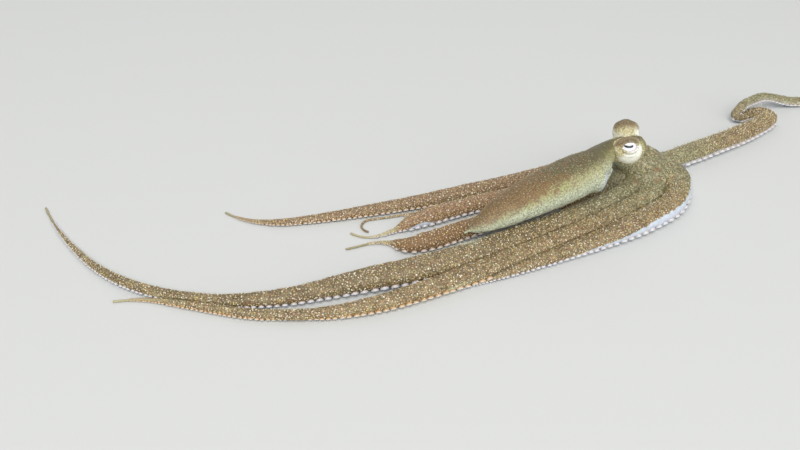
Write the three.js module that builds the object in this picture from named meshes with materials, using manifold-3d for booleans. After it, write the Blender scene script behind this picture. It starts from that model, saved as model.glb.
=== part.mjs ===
// A long-armed sand octopus at rest on the sea floor, life size, in millimetres, +Z up.
// +X is the way the animal faces, and its right side is -Y. The sizes below are measured from the floor
// under the mouth. At the end the whole is moved so that the origin is under its middle.
// The head stands on the ring of arm roots. The mantle trails back and to the right, raised a little.
// Arms R1 to R4 and L1 to L4 are numbered from the front backwards, as in a zoologist's drawing.
// R1 reaches forward. All other arms bend round and trail back along the body.
import * as THREE from "three";
import { ConvexGeometry } from "three/addons/geometries/ConvexGeometry.js";
import { mergeVertices } from "three/addons/utils/BufferGeometryUtils.js";
import Module from "manifold-3d";

const wasm = await Module();
wasm.setup();

// ---- Driving dimensions ----
const GAP = 0.3; // between neighbouring pieces
const ARM_SIDES = 8; // facets round an arm, the lowest of them its flat sole
const ARM_SQUASH = 0.78; // an arm's height over its width
const RING_SPACING = 1.9; // in half widths of the arm
const RING_RANGE = [3.6, 10]; // the least and greatest spacing of its rings
const FOLD_STEP = 0.1; // share of a step that each point of a ring must advance, or the arm is folding
const MANTLE_STEPS = 15; // rings along the mantle
const MANTLE_SIDES = 16;
const CROWN_SIDES = 20;
const NECK_FACETS = [6, 14]; // along it and round it
const FUNNEL_FACETS = [5, 10];
const BALL_FACETS = [14, 9]; // round a ball and from pole to pole
const RING_TURN = 42; // degrees that an arm turns at most from one ring to the next
const ROOT_LIFT = 3; // an arm's sole at its root, inside the crown
const ROOT_RUN = 22; // along the arm, from its root to where it lies on the floor
const EYE_RADIUS = 5;
const EYE_RISE = 38; // degrees above level that each eye looks
const EYE_FORWARD = 6; // degrees forward of straight sideways
const EYE_OUT = 2.2; // from the middle of its turret

// Each arm walks over the floor from its root, at first in the direction `heading`, in degrees to the
// left of straight ahead. `bends` are lengths with the turn to the left that the arm makes over each,
// `girth` its half width at distances from the root, and `cuts` the distances at which it is divided.
const ARMS = {
  // Reaches forward, folds back beside itself, and goes on over its own fold.
  arm_right_1: {
    root: [3, 9],
    heading: 30,
    bends: [
      [60, 2],
      [35, 14],
      [15, 160],
      [10, 16],
      [4, -187],
      [18, -2],
      [28, -32],
      [100, -60],
    ],
    girth: [
      [0, 5],
      [25, 5.9],
      [90, 5.4],
      [122, 2.6],
      [160, 3.5],
      [205, 2.9],
      [270, 0.4],
    ],
    climb: { start: 118, top: 132, down: 140, end: 168, height: 6.8 },
    cuts: [43, 96, 120, 158, 220],
  },
  arm_right_2: {
    root: [8, 7],
    heading: -12,
    bends: [
      [14, -85],
      [30, -45],
      [35, -10],
      [78, -5],
    ],
    girth: [
      [0, 5],
      [8, 6.1],
      [60, 5.9],
      [85, 4.6],
      [125, 2.9],
      [157, 0.4],
    ],
    cuts: [30, 85, 125],
  },
  arm_right_3: {
    root: [2, 2],
    heading: -65,
    bends: [
      [20, -75],
      [35, -5],
      [100, -10],
      [75, -40],
      [25, 2],
      [20, 25],
    ],
    girth: [
      [0, 5],
      [10, 5.2],
      [110, 5.1],
      [165, 4.1],
      [190, 3],
      [245, 2.2],
      [275, 0.4],
    ],
    cuts: [42, 95, 178, 226],
  },
  arm_right_4: {
    root: [-2, 0],
    heading: -120,
    bends: [
      [30, -25],
      [60, -5],
      [55, -14],
      [30, 2],
      [70, -40],
      [35, -22],
      [55, -16],
    ],
    girth: [
      [0, 5],
      [30, 5.8],
      [90, 6.5],
      [125, 6.5],
      [150, 6],
      [180, 4.5],
      [215, 3.2],
      [260, 2.5],
      [335, 0.4],
    ],
    cuts: [60, 120, 205, 285],
  },
  arm_left_1: {
    root: [5, 11],
    heading: 40,
    bends: [
      [22, 150],
      [25, 20],
      [45, -8],
      [80, -8],
      [25, -4],
      [35, -50],
    ],
    girth: [
      [0, 4.8],
      [20, 5],
      [115, 4.5],
      [160, 3.4],
      [203, 2.1],
      [232, 0.4],
    ],
    cuts: [40, 115, 183],
  },
  // The next three were bitten short once, and end in thin new tips.
  arm_left_2: {
    root: [-1, 9],
    heading: 120,
    bends: [
      [20, 85],
      [40, 3],
      [30, -9],
      [52, -6],
      [13, 150],
    ],
    girth: [
      [0, 4.6],
      [50, 4.6],
      [66, 3.8],
      [79, 1.7],
      [95, 1],
      [145, 0.7],
      [155, 0.35],
    ],
    cuts: [47, 78],
  },
  arm_left_3: {
    root: [-6, 6],
    heading: 180,
    bends: [
      [18, 25],
      [40, -7],
      [45, 9],
      [27, 0],
      [15, -70],
    ],
    girth: [
      [0, 4.6],
      [90, 4.7],
      [106, 4.9],
      [116, 4],
      [123, 1.7],
      [133, 0.9],
      [145, 0.35],
    ],
    cuts: [47, 117],
  },
  arm_left_4: {
    root: [-7, 2],
    heading: 207,
    bends: [
      [105, 2],
      [12, -12],
      [8, -55],
      [15, 60],
      [10, 0],
    ],
    girth: [
      [0, 4.4],
      [30, 4.7],
      [113, 4.9],
      [123, 3.7],
      [130, 1.4],
      [137, 0.9],
      [150, 0.35],
    ],
    cuts: [53, 123],
  },
};

// The mantle trails from its collar, sinks towards its end and closes in a rounded point with one papilla.
const MANTLE = {
  collar: [-31.5, -19, 20.3],
  heading: 212,
  length: 67.5,
  papilla: 2.5, // past the end
  drop: 8.2,
  width: 10.8, // half
  collarWidth: 10.2,
  collarFlare: 12, // the higher, the shorter the stretch over which the collar draws in
  flatness: 0.95, // half height over half width
  taper: 2.2, // the higher, the later it narrows
  roundness: 0.55, // of its end: 0.5 is an ellipse's, 1 a point
  sag: 1.7, // the higher, the nearer to its end it sinks
  papillaRadius: [0.8, 0.5], // at the mantle's collar, inside it, and at the tip
  ringBias: 1.1, // the lower, the closer the rings stand at its end
};

// The ring of arm roots under the head, a dome that leans back.
const CROWN = {
  centre: [1.5, 3.5],
  halfLength: 15,
  halfWidth: 14,
  height: 18,
  lean: 8,
  closing: 0.82, // of the height at which its dome would close, 1 for a point
  tuck: 2.6, // by which its underside is rounded off
  levels: [0, 2.5, 6.5, 10.5, 14.5, 18],
};

// The neck, from inside the head to inside the mantle's collar: x, y, z, half width and half height.
const NECK = [
  [-10, 1.5, 20, 7.8, 7.4],
  [-21.5, -5, 21.6, 5.9, 6.2],
  [-29.5, -15.5, 21.8, 8, 7.6],
  [-37, -22.5, 21.2, 7.4, 7],
];

const FUNNEL = [
  [-22, -11, 16.6, 3.3, 2.7],
  [-25.5, -17, 14.2, 3, 2.4],
  [-27.5, -22, 12, 2.1, 1.6],
];

// The head: skull and the two raised sockets, each as a centre and a radius.
const SKULL = { centre: [-10, 2.2, 19.2], radius: 9, stretch: [1.03, 1.02, 0.98] };
const TURRET_RIGHT = { centre: [-12, -4.6, 22.6], radius: 6.7, stretch: [1.05, 0.98, 1] };
const TURRET_LEFT = { centre: [-9.8, 9.2, 23.6], radius: 6.4, stretch: [1.05, 0.98, 1] };

const SKIN = { mantle: 0xa38a5c, head: 0xb3a67c, arm: 0x8f7648, funnel: 0xd9dccb };
const SKIN_ROUGHNESS = 0.55;
const EYE_WHITE = 0xe9e6dd;
const EYE_ROUGHNESS = 0.15;

// ---- Shapes ----

// A closed solid through rings of equally many points, with flat ends.
function loft(rings) {
  const sides = rings[0].length;
  const index = [];
  for (let ring = 0; ring + 1 < rings.length; ring++)
    for (let side = 0; side < sides; side++) {
      const a = ring * sides + side;
      const b = ring * sides + ((side + 1) % sides);
      index.push(a, b, b + sides, a, b + sides, a + sides);
    }
  const last = (rings.length - 1) * sides;
  for (let side = 1; side + 1 < sides; side++) {
    index.push(0, side + 1, side);
    index.push(last, last + side, last + side + 1);
  }
  const geometry = new THREE.BufferGeometry().setFromPoints(rings.flat());
  geometry.setIndex(index);
  return geometry;
}

// A three.js geometry as a manifold solid, turned right side out.
function solid(geometry) {
  const bare = geometry.clone();
  bare.deleteAttribute("normal");
  bare.deleteAttribute("uv");
  const merged = mergeVertices(bare, 1e-4);
  const triVerts = new Uint32Array(merged.index.array);
  const vertProperties = merged.attributes.position.array;
  const made = new wasm.Manifold(new wasm.Mesh({ numProp: 3, vertProperties, triVerts }));
  if (made.volume() > 0) return made;
  for (let i = 0; i < triVerts.length; i += 3)
    [triVerts[i + 1], triVerts[i + 2]] = [triVerts[i + 2], triVerts[i + 1]];
  return new wasm.Manifold(new wasm.Mesh({ numProp: 3, vertProperties, triVerts }));
}

function asGeometry(made) {
  const mesh = made.getMesh();
  const points = [];
  for (let i = 0; i < mesh.vertProperties.length; i += mesh.numProp)
    points.push(...mesh.vertProperties.subarray(i, i + 3));
  const geometry = new THREE.BufferGeometry();
  geometry.setAttribute("position", new THREE.Float32BufferAttribute(points, 3));
  geometry.setIndex(new THREE.BufferAttribute(mesh.triVerts, 1));
  return geometry;
}

// Of a solid that a cut has left in pieces, the largest.
function largest(made) {
  return made.decompose().reduce((a, b) => (a.volume() > b.volume() ? a : b));
}

// A smooth line of numbers through rows of numbers, at a place from 0 to 1.
function smoothRow(rows, place) {
  const at = place * (rows.length - 1);
  const i = Math.min(Math.floor(at), rows.length - 2);
  const t = at - i;
  const before = rows[i - 1] ?? rows[i].map((v, k) => 2 * v - rows[i + 1][k]);
  const after = rows[i + 2] ?? rows[i + 1].map((v, k) => 2 * v - rows[i][k]);
  return rows[i].map((v, k) => {
    const [p, q, r, s] = [before[k], v, rows[i + 1][k], after[k]];
    return q + 0.5 * t * (r - p + t * (2 * p - 5 * q + 4 * r - s + t * (3 * (q - r) + s - p)));
  });
}

// The value at a place along pairs of [place, value], straight between them.
function valueAt(pairs, place) {
  let after = 1;
  while (after < pairs.length - 1 && pairs[after][0] < place) after++;
  const [from, low] = pairs[after - 1];
  const [to, high] = pairs[after];
  return THREE.MathUtils.mapLinear(THREE.MathUtils.clamp(place, from, to), from, to, low, high);
}

// The height of an arm's sole: it comes down from the crown, and climbs where it crosses itself.
function soleHeight(walked, climb) {
  const { smoothstep } = THREE.MathUtils;
  const root = ROOT_LIFT * (1 - smoothstep(walked, 0, ROOT_RUN));
  if (!climb) return root;
  const up = smoothstep(walked, climb.start, climb.top);
  const down = smoothstep(walked, climb.down, climb.end);
  return root + climb.height * (up - down);
}

// The arm's rings, spaced by its thickness and closer together where it turns.
function armStations({ root, heading, bends, girth, climb }) {
  const STRIDE = 0.5;
  const stations = [];
  const here = new THREE.Vector3(...root, 0);
  let facing = heading;
  let walked = 0;
  const place = () => {
    const angle = THREE.MathUtils.degToRad(facing);
    const along = new THREE.Vector3(Math.cos(angle), Math.sin(angle), 0);
    const across = new THREE.Vector3(-along.y, along.x, 0);
    const centre = here.clone().setZ(soleHeight(walked, climb));
    stations.push({ walked, facing, centre, radius: valueAt(girth, walked), along, across });
  };
  place();
  for (const [length, turn] of bends) {
    const strides = Math.ceil(length / STRIDE);
    for (let stride = 0; stride < strides; stride++) {
      const angle = THREE.MathUtils.degToRad(facing + turn / strides / 2);
      here.add(new THREE.Vector3(Math.cos(angle), Math.sin(angle), 0).multiplyScalar(length / strides));
      facing += turn / strides;
      walked += length / strides;
      const last = stations.at(-1);
      const spacing = THREE.MathUtils.clamp(last.radius * RING_SPACING, ...RING_RANGE);
      if (walked - last.walked >= spacing || Math.abs(facing - last.facing) >= RING_TURN) place();
    }
  }
  if (walked - stations.at(-1).walked < RING_RANGE[0] / 2) stations.pop();
  place();
  return stations;
}

// One ring of an arm: an octagon wider than high, standing on its lowest side.
function armRing({ centre, radius, across }, grow) {
  const flat = Math.cos(Math.PI / ARM_SIDES);
  return Array.from({ length: ARM_SIDES }, (_, side) => {
    const angle = ((side + 0.5) / ARM_SIDES) * 2 * Math.PI - Math.PI / 2;
    const out = (Math.cos(angle) / flat) * (radius + grow);
    const up = (Math.sin(angle) / flat) * (radius * ARM_SQUASH + grow) + radius * ARM_SQUASH;
    return centre.clone().addScaledVector(across, out).setZ(centre.z + up);
  });
}

// A length of arm through its stations. Where it doubles back on itself, so that its rings cross,
// each step there is the hull of its two rings.
function armSolid(stations, grow = 0) {
  const rings = stations.map((station) => armRing(station, grow));
  const folds = rings.slice(1).map((next, k) => {
    const step = stations[k + 1].centre.clone().sub(stations[k].centre);
    const least = FOLD_STEP * step.lengthSq();
    return next.some((point, i) => point.clone().sub(rings[k][i]).dot(step) < least);
  });
  const made = [];
  let first = 0;
  while (first < folds.length) {
    let last = first + 1;
    if (folds[first]) {
      made.push(solid(new ConvexGeometry([...rings[first], ...rings[last]])));
    } else {
      while (last < folds.length && !folds[last]) last++;
      made.push(solid(loft(rings.slice(first, last + 1))));
    }
    first = last;
  }
  return made.reduce((a, b) => a.add(b));
}

// A tube of upright oval rings along rows of x, y, z, half width and half height.
function ovalTube(rows, [steps, sides], grow = 0) {
  const NEARBY = 0.01; // share of the tube over which its direction is taken
  const rings = [];
  for (let k = 0; k <= steps; k++) {
    const [x, y, z, wide, high] = smoothRow(rows, k / steps);
    const ahead = smoothRow(rows, Math.min(1, k / steps + NEARBY));
    const behind = smoothRow(rows, Math.max(0, k / steps - NEARBY));
    const along = new THREE.Vector3(...ahead).sub(new THREE.Vector3(...behind)).normalize();
    const across = new THREE.Vector3(-along.y, along.x, 0).normalize();
    const up = new THREE.Vector3().crossVectors(along, across);
    rings.push(ringOf([x, y, z], across, up, wide + grow, high + grow, sides));
  }
  return loft(rings);
}

function ringOf(centre, across, up, wide, high, sides) {
  return Array.from({ length: sides }, (_, side) => {
    const angle = (side / sides) * 2 * Math.PI;
    return new THREE.Vector3(...centre)
      .addScaledVector(across, Math.cos(angle) * wide)
      .addScaledVector(up, Math.sin(angle) * high);
  });
}

// The mantle: upright oval rings from the collar to the papilla at its end.
function mantleShape(grow = 0) {
  const angle = THREE.MathUtils.degToRad(MANTLE.heading);
  const whole = MANTLE.length + MANTLE.papilla;
  const rows = Array.from({ length: MANTLE_STEPS + 1 }, (_, step) => {
    const walked = whole * Math.sin((step / MANTLE_STEPS) * (Math.PI / 2)) ** MANTLE.ringBias;
    const share = Math.min(1, walked / MANTLE.length);
    const swell = MANTLE.width - (MANTLE.width - MANTLE.collarWidth) * (1 - share) ** MANTLE.collarFlare;
    const sac = swell * (1 - share ** MANTLE.taper) ** MANTLE.roundness;
    const papilla = THREE.MathUtils.lerp(...MANTLE.papillaRadius, walked / whole);
    const wide = Math.max(sac, papilla);
    const [x, y, z] = MANTLE.collar;
    const sink = MANTLE.drop * share ** MANTLE.sag;
    const centre = [x + walked * Math.cos(angle), y + walked * Math.sin(angle), z - sink];
    return [...centre, wide, wide * MANTLE.flatness];
  });
  return solid(ovalTube(rows, [MANTLE_STEPS, MANTLE_SIDES], grow));
}

// The crown: level oval sections, one above the other.
function crownDome(grow = 0) {
  const east = new THREE.Vector3(1, 0, 0);
  const north = new THREE.Vector3(0, 1, 0);
  const rings = CROWN.levels.map((level, k) => {
    const rise = level / CROWN.height;
    const narrow = Math.sqrt(1 - (CROWN.closing * rise) ** 2);
    const tuck = k === 0 ? CROWN.tuck : 0;
    const edge = k === 0 ? -grow : k === CROWN.levels.length - 1 ? grow : 0;
    const [x, y] = CROWN.centre;
    const centre = [x - CROWN.lean * rise ** 2, y, level + edge];
    const long = CROWN.halfLength * narrow - tuck + grow;
    const broad = CROWN.halfWidth * narrow - tuck + grow;
    return ringOf(centre, east, north, long, broad, CROWN_SIDES);
  });
  return solid(loft(rings));
}

function ball(centre, radius, stretch = [1, 1, 1]) {
  const geometry = new THREE.SphereGeometry(radius, ...BALL_FACETS);
  geometry.rotateX(Math.PI / 2).scale(...stretch).translate(...centre);
  return solid(geometry);
}

// The middle of an eyeball, which looks out of its turret to the side, upwards and a little forwards.
function eyeCentre({ centre }, side) {
  const rise = THREE.MathUtils.degToRad(EYE_RISE);
  const forward = THREE.MathUtils.degToRad(EYE_FORWARD);
  const look = [
    Math.cos(rise) * Math.sin(forward),
    side * Math.cos(rise) * Math.cos(forward),
    Math.sin(rise),
  ];
  return centre.map((value, axis) => value + look[axis] * EYE_OUT);
}

// ---- The object ----

const octopus = new THREE.Group();

function add(name, made, colour, roughness = SKIN_ROUGHNESS) {
  const material = new THREE.MeshStandardMaterial({ color: colour, roughness, metalness: 0 });
  const mesh = new THREE.Mesh(asGeometry(made), material);
  mesh.name = name;
  octopus.add(mesh);
}

// Head: skull, turrets of the eyes and neck, over the crown.
function headShape(grow = 0) {
  return [SKULL, TURRET_RIGHT, TURRET_LEFT]
    .map(({ centre, radius, stretch }) => ball(centre, radius + grow, stretch))
    .reduce((whole, lump) => whole.add(lump), solid(ovalTube(NECK, NECK_FACETS, grow)));
}

const EYE_RIGHT = eyeCentre(TURRET_RIGHT, -1);
const EYE_LEFT = eyeCentre(TURRET_LEFT, 1);
const crown = crownDome();
const head = headShape();
const mantle = mantleShape();

add("crown", crown, SKIN.arm);
add(
  "head",
  head
    .subtract(crownDome(GAP))
    .subtract(ball(EYE_RIGHT, EYE_RADIUS + GAP))
    .subtract(ball(EYE_LEFT, EYE_RADIUS + GAP)),
  SKIN.head,
);
add("eye_right", ball(EYE_RIGHT, EYE_RADIUS), EYE_WHITE, EYE_ROUGHNESS);
add("eye_left", ball(EYE_LEFT, EYE_RADIUS), EYE_WHITE, EYE_ROUGHNESS);
add("mantle", mantle.subtract(headShape(GAP)), SKIN.mantle);
const funnel = solid(ovalTube(FUNNEL, FUNNEL_FACETS));
add(
  "funnel",
  largest(funnel.subtract(headShape(GAP)).subtract(mantleShape(GAP))),
  SKIN.funnel,
);

// Arms, in the order in which a later one gives way to an earlier one where they press together.
// Each length also gives way to the earlier lengths of its own arm, with the same gap.
const standing = [crownDome(GAP)];
for (const [name, arm] of Object.entries(ARMS)) {
  const stations = armStations(arm);
  const inner = arm.cuts.map((cut) => stations.findIndex(({ walked }) => walked >= cut));
  const ends = [0, ...inner, stations.length - 1];
  const own = [];
  for (let piece = 0; piece + 1 < ends.length; piece++) {
    const length = stations.slice(ends[piece], ends[piece + 1] + 1);
    const made = [...standing, ...own].reduce((rest, other) => rest.subtract(other), armSolid(length));
    add(`${name}_${piece + 1}`, largest(made), SKIN.arm);
    const end = length.at(-1);
    const beyond = { ...end, centre: end.centre.clone().addScaledVector(end.along, GAP) };
    own.push(armSolid([...length, beyond], GAP));
  }
  standing.push(...own);
}

// The origin is under the middle of the whole animal, at floor level.
const extent = new THREE.Box3().setFromObject(octopus);
const middle = extent.getCenter(new THREE.Vector3());
octopus.position.set(-middle.x, -middle.y, -extent.min.z);

export default octopus;
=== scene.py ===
"""A slender long-armed octopus, life size, lying on a level floor with its arms swept back.

Places and sizes below are in millimetres, measured from the floor under the mouth: +X is the way the
animal faces and its right side is -Y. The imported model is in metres, and its crown tells where the mouth is.
"""
import math
import random
from collections import namedtuple
from contextlib import contextmanager

import bpy
import numpy as np
from mathutils import Matrix, Vector, noise
from mathutils.bvhtree import BVHTree
from mathutils.kdtree import KDTree


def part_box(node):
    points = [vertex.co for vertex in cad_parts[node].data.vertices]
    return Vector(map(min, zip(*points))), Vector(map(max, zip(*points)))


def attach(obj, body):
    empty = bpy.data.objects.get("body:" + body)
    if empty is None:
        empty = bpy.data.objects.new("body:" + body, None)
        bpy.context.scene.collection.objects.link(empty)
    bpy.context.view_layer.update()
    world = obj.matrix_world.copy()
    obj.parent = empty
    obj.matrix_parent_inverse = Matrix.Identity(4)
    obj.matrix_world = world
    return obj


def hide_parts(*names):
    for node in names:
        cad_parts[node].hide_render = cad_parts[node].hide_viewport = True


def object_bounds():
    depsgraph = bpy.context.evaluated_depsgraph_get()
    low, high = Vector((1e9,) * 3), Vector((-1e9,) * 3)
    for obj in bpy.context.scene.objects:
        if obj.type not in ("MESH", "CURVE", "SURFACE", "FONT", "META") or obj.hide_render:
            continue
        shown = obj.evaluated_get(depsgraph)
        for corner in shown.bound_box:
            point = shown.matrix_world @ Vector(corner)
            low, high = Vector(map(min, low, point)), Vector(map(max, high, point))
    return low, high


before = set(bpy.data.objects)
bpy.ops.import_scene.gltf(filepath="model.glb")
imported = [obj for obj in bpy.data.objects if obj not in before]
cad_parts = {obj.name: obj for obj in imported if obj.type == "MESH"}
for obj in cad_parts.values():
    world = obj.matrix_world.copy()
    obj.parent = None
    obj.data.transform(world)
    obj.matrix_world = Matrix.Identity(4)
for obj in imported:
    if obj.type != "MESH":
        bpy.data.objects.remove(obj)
cad_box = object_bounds()
random.seed(8)

MM = 0.001
CROWN_FRONT = 16.25  # of the crown's front edge, ahead of the mouth
CROWN_MIDDLE = 3.5  # of the crown's middle, to the left of the mouth
crown_low, crown_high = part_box("crown")
MOUTH = Vector((crown_high.x - CROWN_FRONT * MM, (crown_low.y + crown_high.y) / 2 - CROWN_MIDDLE * MM, 0))

# ---- The animal's sizes ----
COAT_DEPTH = 0.35  # by which the skin lies inside the solids
ARM_SQUASH = 0.78  # an arm's height over its width
ROOT_LIFT = 3  # an arm's sole at its root, inside the crown
ROOT_RUN = 22  # along the arm, from its root to where it lies on the floor
EYE_RADIUS = 4.7  # of the finished ball, a little inside the solid
EYE_RISE = 38  # degrees above level that each eye looks
EYE_FORWARD = 6  # degrees forward of straight sideways
EYE_OUT = 2.2  # from the middle of its turret
Lump = namedtuple("Lump", "centre radius stretch")
SKULL = Lump((-10, 2.2, 19.2), 9, (1.01, 1, 0.96))
# The side of an eye turret is -1 on the animal's right and 1 on its left. Its corners are the power of its
# outline: 2 is round, and more is squarer.
Turret = namedtuple("Turret", "centre radius stretch side corners")
TURRETS = {"right": Turret((-12, -4.6, 22.6), 6.7, (1.02, 0.95, 0.97), -1, 2),
           "left": Turret((-9.8, 9.2, 23.6), 6.4, (1.07, 1.02, 1.02), 1, 2.8)}
NECK_FLATNESS = 0.92
# Rows of x, y, z, half width and half height.
NECK = [(-10, 1.5, 20, 7.8, 7.4), (-21.5, -5, 21.6, 5.9, 6.2), (-29.5, -15.5, 21.8, 8, 7.6),
        (-37, -22.5, 21.2, 7.4, 7)]
FUNNEL = [(-22, -11, 16.6, 3.3, 2.7), (-25.5, -17, 14.2, 3, 2.4), (-27.5, -22, 12, 2.1, 1.6)]
# `papilla` is the little spine at its end, and `drop` how far its end lies under the collar. The powers
# shape it: how soon it swells behind the collar, how late it tapers, how bluntly, and how late it drops.
MANTLE = {"collar": (-31.5, -19, 20.3), "heading": 212, "length": 67.5, "papilla": 2.5, "drop": 8.2,
          "width": 10.8, "collar_width": 10.2, "flatness": 0.95, "swell_power": 12, "taper_power": 2.2,
          "blunt_power": 0.55, "drop_power": 1.7, "spine_width": 0.8, "spine_fall": 0.3}

# Each arm walks over the floor from its root, at first in the direction `heading`, in degrees to the left
# of straight ahead. `bends` are lengths with the turn to the left that the arm makes over each, and
# `girth` its half width at distances from the root.
ARMS = {
    "arm_right_1": {
        "root": (3, 9), "heading": 30,
        "bends": [(60, 2), (35, 14), (15, 160), (10, 16), (4, -187), (18, -2), (28, -32), (100, -60)],
        "girth": [(0, 5), (25, 5.9), (90, 5.4), (122, 2.6), (160, 3.5), (205, 2.9), (270, 0.4)],
        "climb": {"start": 118, "top": 132, "down": 140, "end": 168, "height": 6.8},
    },
    "arm_right_2": {
        "root": (8, 7), "heading": -12,
        "bends": [(14, -85), (30, -45), (35, -10), (78, -5)],
        "girth": [(0, 5), (8, 6.1), (60, 5.9), (85, 4.6), (125, 2.9), (157, 0.4)],
    },
    "arm_right_3": {
        "root": (2, 2), "heading": -65,
        "bends": [(20, -75), (35, -5), (100, -10), (75, -40), (25, 2), (20, 25)],
        "girth": [(0, 5), (10, 5.2), (110, 5.1), (165, 4.1), (190, 3), (245, 2.2), (275, 0.4)],
    },
    "arm_right_4": {
        "root": (-2, 0), "heading": -120,
        "bends": [(30, -25), (60, -5), (55, -14), (30, 2), (70, -40), (35, -22), (55, -16)],
        "girth": [(0, 5), (30, 5.8), (90, 6.5), (125, 6.5), (150, 6), (180, 4.5), (215, 3.2), (260, 2.5),
                  (335, 0.4)],
    },
    "arm_left_1": {
        "root": (5, 11), "heading": 40,
        "bends": [(22, 150), (25, 20), (45, -8), (80, -8), (25, -4), (35, -50)],
        "girth": [(0, 4.8), (20, 5), (115, 4.5), (160, 3.4), (203, 2.1), (232, 0.4)],
    },
    # The next three were bitten short once, and end in thin new tips.
    "arm_left_2": {
        "root": (-1, 9), "heading": 120,
        "bends": [(20, 85), (40, 3), (30, -9), (52, -6), (13, 150)],
        "girth": [(0, 4.6), (50, 4.6), (66, 3.8), (79, 1.7), (95, 1), (145, 0.7), (155, 0.35)],
    },
    "arm_left_3": {
        "root": (-6, 6), "heading": 180,
        "bends": [(18, 25), (40, -7), (45, 9), (27, 0), (15, -70)],
        "girth": [(0, 4.6), (90, 4.7), (106, 4.9), (116, 4), (123, 1.7), (133, 0.9), (145, 0.35)],
    },
    "arm_left_4": {
        "root": (-7, 2), "heading": 207,
        "bends": [(105, 2), (12, -12), (8, -55), (15, 60), (10, 0)],
        "girth": [(0, 4.4), (30, 4.7), (113, 4.9), (123, 3.7), (130, 1.4), (137, 0.9), (150, 0.35)],
    },
}


# ---- Ways and places ----

def smoothstep(value, low, high):
    share = np.clip((value - low) / (high - low), 0, 1)
    return share * share * (3 - 2 * share)


def row_place(x, y, z):
    """A place given from the mouth in millimetres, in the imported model's metres."""
    return MOUTH + Vector((x, y, z)) * MM


def sole_height(walked, climb):
    height = ROOT_LIFT * (1 - smoothstep(walked, 0, ROOT_RUN))
    if climb:
        up = smoothstep(walked, climb["start"], climb["top"])
        height += climb["height"] * (up - smoothstep(walked, climb["down"], climb["end"]))
    return height


Station = namedtuple("Station", "walked x y height facing radius share")


def walk(arm, stride=0.5):
    """Stations along the middle of an arm's sole, with its heading, its half width and the share walked."""
    x, y = arm["root"]
    facing = arm["heading"]
    whole = sum(length for length, _ in arm["bends"])
    places, widths = zip(*arm["girth"])
    walked = 0.0
    stations = []

    def note():
        radius = float(np.interp(walked, places, widths))
        height = float(sole_height(walked, arm.get("climb")))
        stations.append(Station(walked, x, y, height, facing, radius, walked / whole))

    note()
    for length, turn in arm["bends"]:
        strides = math.ceil(length / stride)
        for _ in range(strides):
            angle = math.radians(facing + turn / strides / 2)
            x += math.cos(angle) * length / strides
            y += math.sin(angle) * length / strides
            facing += turn / strides
            walked += length / strides
            note()
    return stations


def smooth_rows(rows, steps):
    """Rows of numbers spread smoothly through the given rows."""
    rows = np.array(rows, float)
    padded = np.vstack([2 * rows[0] - rows[1], rows, 2 * rows[-1] - rows[-2]])
    spread = []
    for step in range(steps + 1):
        place = step / steps * (len(rows) - 1)
        i = min(int(place), len(rows) - 2)
        t = place - i
        p, q, r, s = padded[i:i + 4]
        spread.append(q + 0.5 * t * (r - p + t * (2 * p - 5 * q + 4 * r - s + t * (3 * (q - r) + s - p))))
    return spread


def mantle_rows(steps=60):
    """The mantle's axis from the collar to its papilla: x, y, z, half width, half height."""
    angle = math.radians(MANTLE["heading"])
    whole = MANTLE["length"] + MANTLE["papilla"]
    rows = []
    for step in range(steps + 1):
        walked = whole * math.sin(step / steps * math.pi / 2) ** 1.1
        share = min(1.0, walked / MANTLE["length"])
        swelling = (MANTLE["width"] - MANTLE["collar_width"]) * (1 - share) ** MANTLE["swell_power"]
        body = (MANTLE["width"] - swelling) * (1 - share ** MANTLE["taper_power"]) ** MANTLE["blunt_power"]
        spine = MANTLE["spine_width"] - MANTLE["spine_fall"] * walked / whole
        wide = max(body, spine)
        x, y, z = MANTLE["collar"]
        rows.append((x + walked * math.cos(angle), y + walked * math.sin(angle),
                     z - MANTLE["drop"] * share ** MANTLE["drop_power"], wide, wide * MANTLE["flatness"]))
    return rows


WAYS = {name: walk(arm) for name, arm in ARMS.items()}


def station_number(name, walked):
    """The number of the first station at a distance along an arm or beyond it."""
    distances = [station.walked for station in WAYS[name]]
    return min(int(np.searchsorted(distances, walked)), len(distances) - 1)


def eye_look(side):
    rise, forward = math.radians(EYE_RISE), math.radians(EYE_FORWARD)
    return Vector((math.cos(rise) * math.sin(forward), side * math.cos(rise) * math.cos(forward),
                   math.sin(rise)))


def eye_axes(side):
    """The eye's look, the direction to its front corner, and its up."""
    look = eye_look(side)
    up = (Vector((0, 0, 1)) - look * look.z).normalized()
    return look, up.cross(look) * -side, up


def eye_turn(side):
    """The turn to an eye's own axes, of which Z is its look and Y its up."""
    look, front, up = eye_axes(side)
    return Matrix((front * -side, up, look)).transposed()


def eye_place(side_name):
    turret = TURRETS[side_name]
    return row_place(*(Vector(turret.centre) + eye_look(turret.side) * EYE_OUT))


# ---- Modelling helpers ----

def choose(*objects):
    bpy.ops.object.select_all(action="DESELECT")
    for chosen in objects:
        chosen.select_set(True)
    bpy.context.view_layer.objects.active = objects[-1]


def added(operator, **settings):
    """The object that one of Blender's add operators makes."""
    bpy.ops.object.select_all(action="DESELECT")
    operator(**settings)
    return bpy.context.object


def apply_modifier(piece, kind, **settings):
    modifier = piece.modifiers.new(kind.lower(), kind)
    for key, value in settings.items():
        setattr(modifier, key, value)
    choose(piece)
    bpy.ops.object.modifier_apply(modifier=modifier.name)


@contextmanager
def whole_mesh():
    """Edit mode, with all of the active object's mesh selected."""
    bpy.ops.object.mode_set(mode="EDIT")
    bpy.ops.mesh.select_all(action="SELECT")
    yield
    bpy.ops.object.mode_set(mode="OBJECT")


def join(name, *pieces):
    choose(*pieces)
    bpy.ops.object.join()
    bpy.context.object.name = name
    bpy.context.object.data.name = name
    return bpy.context.object


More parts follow.
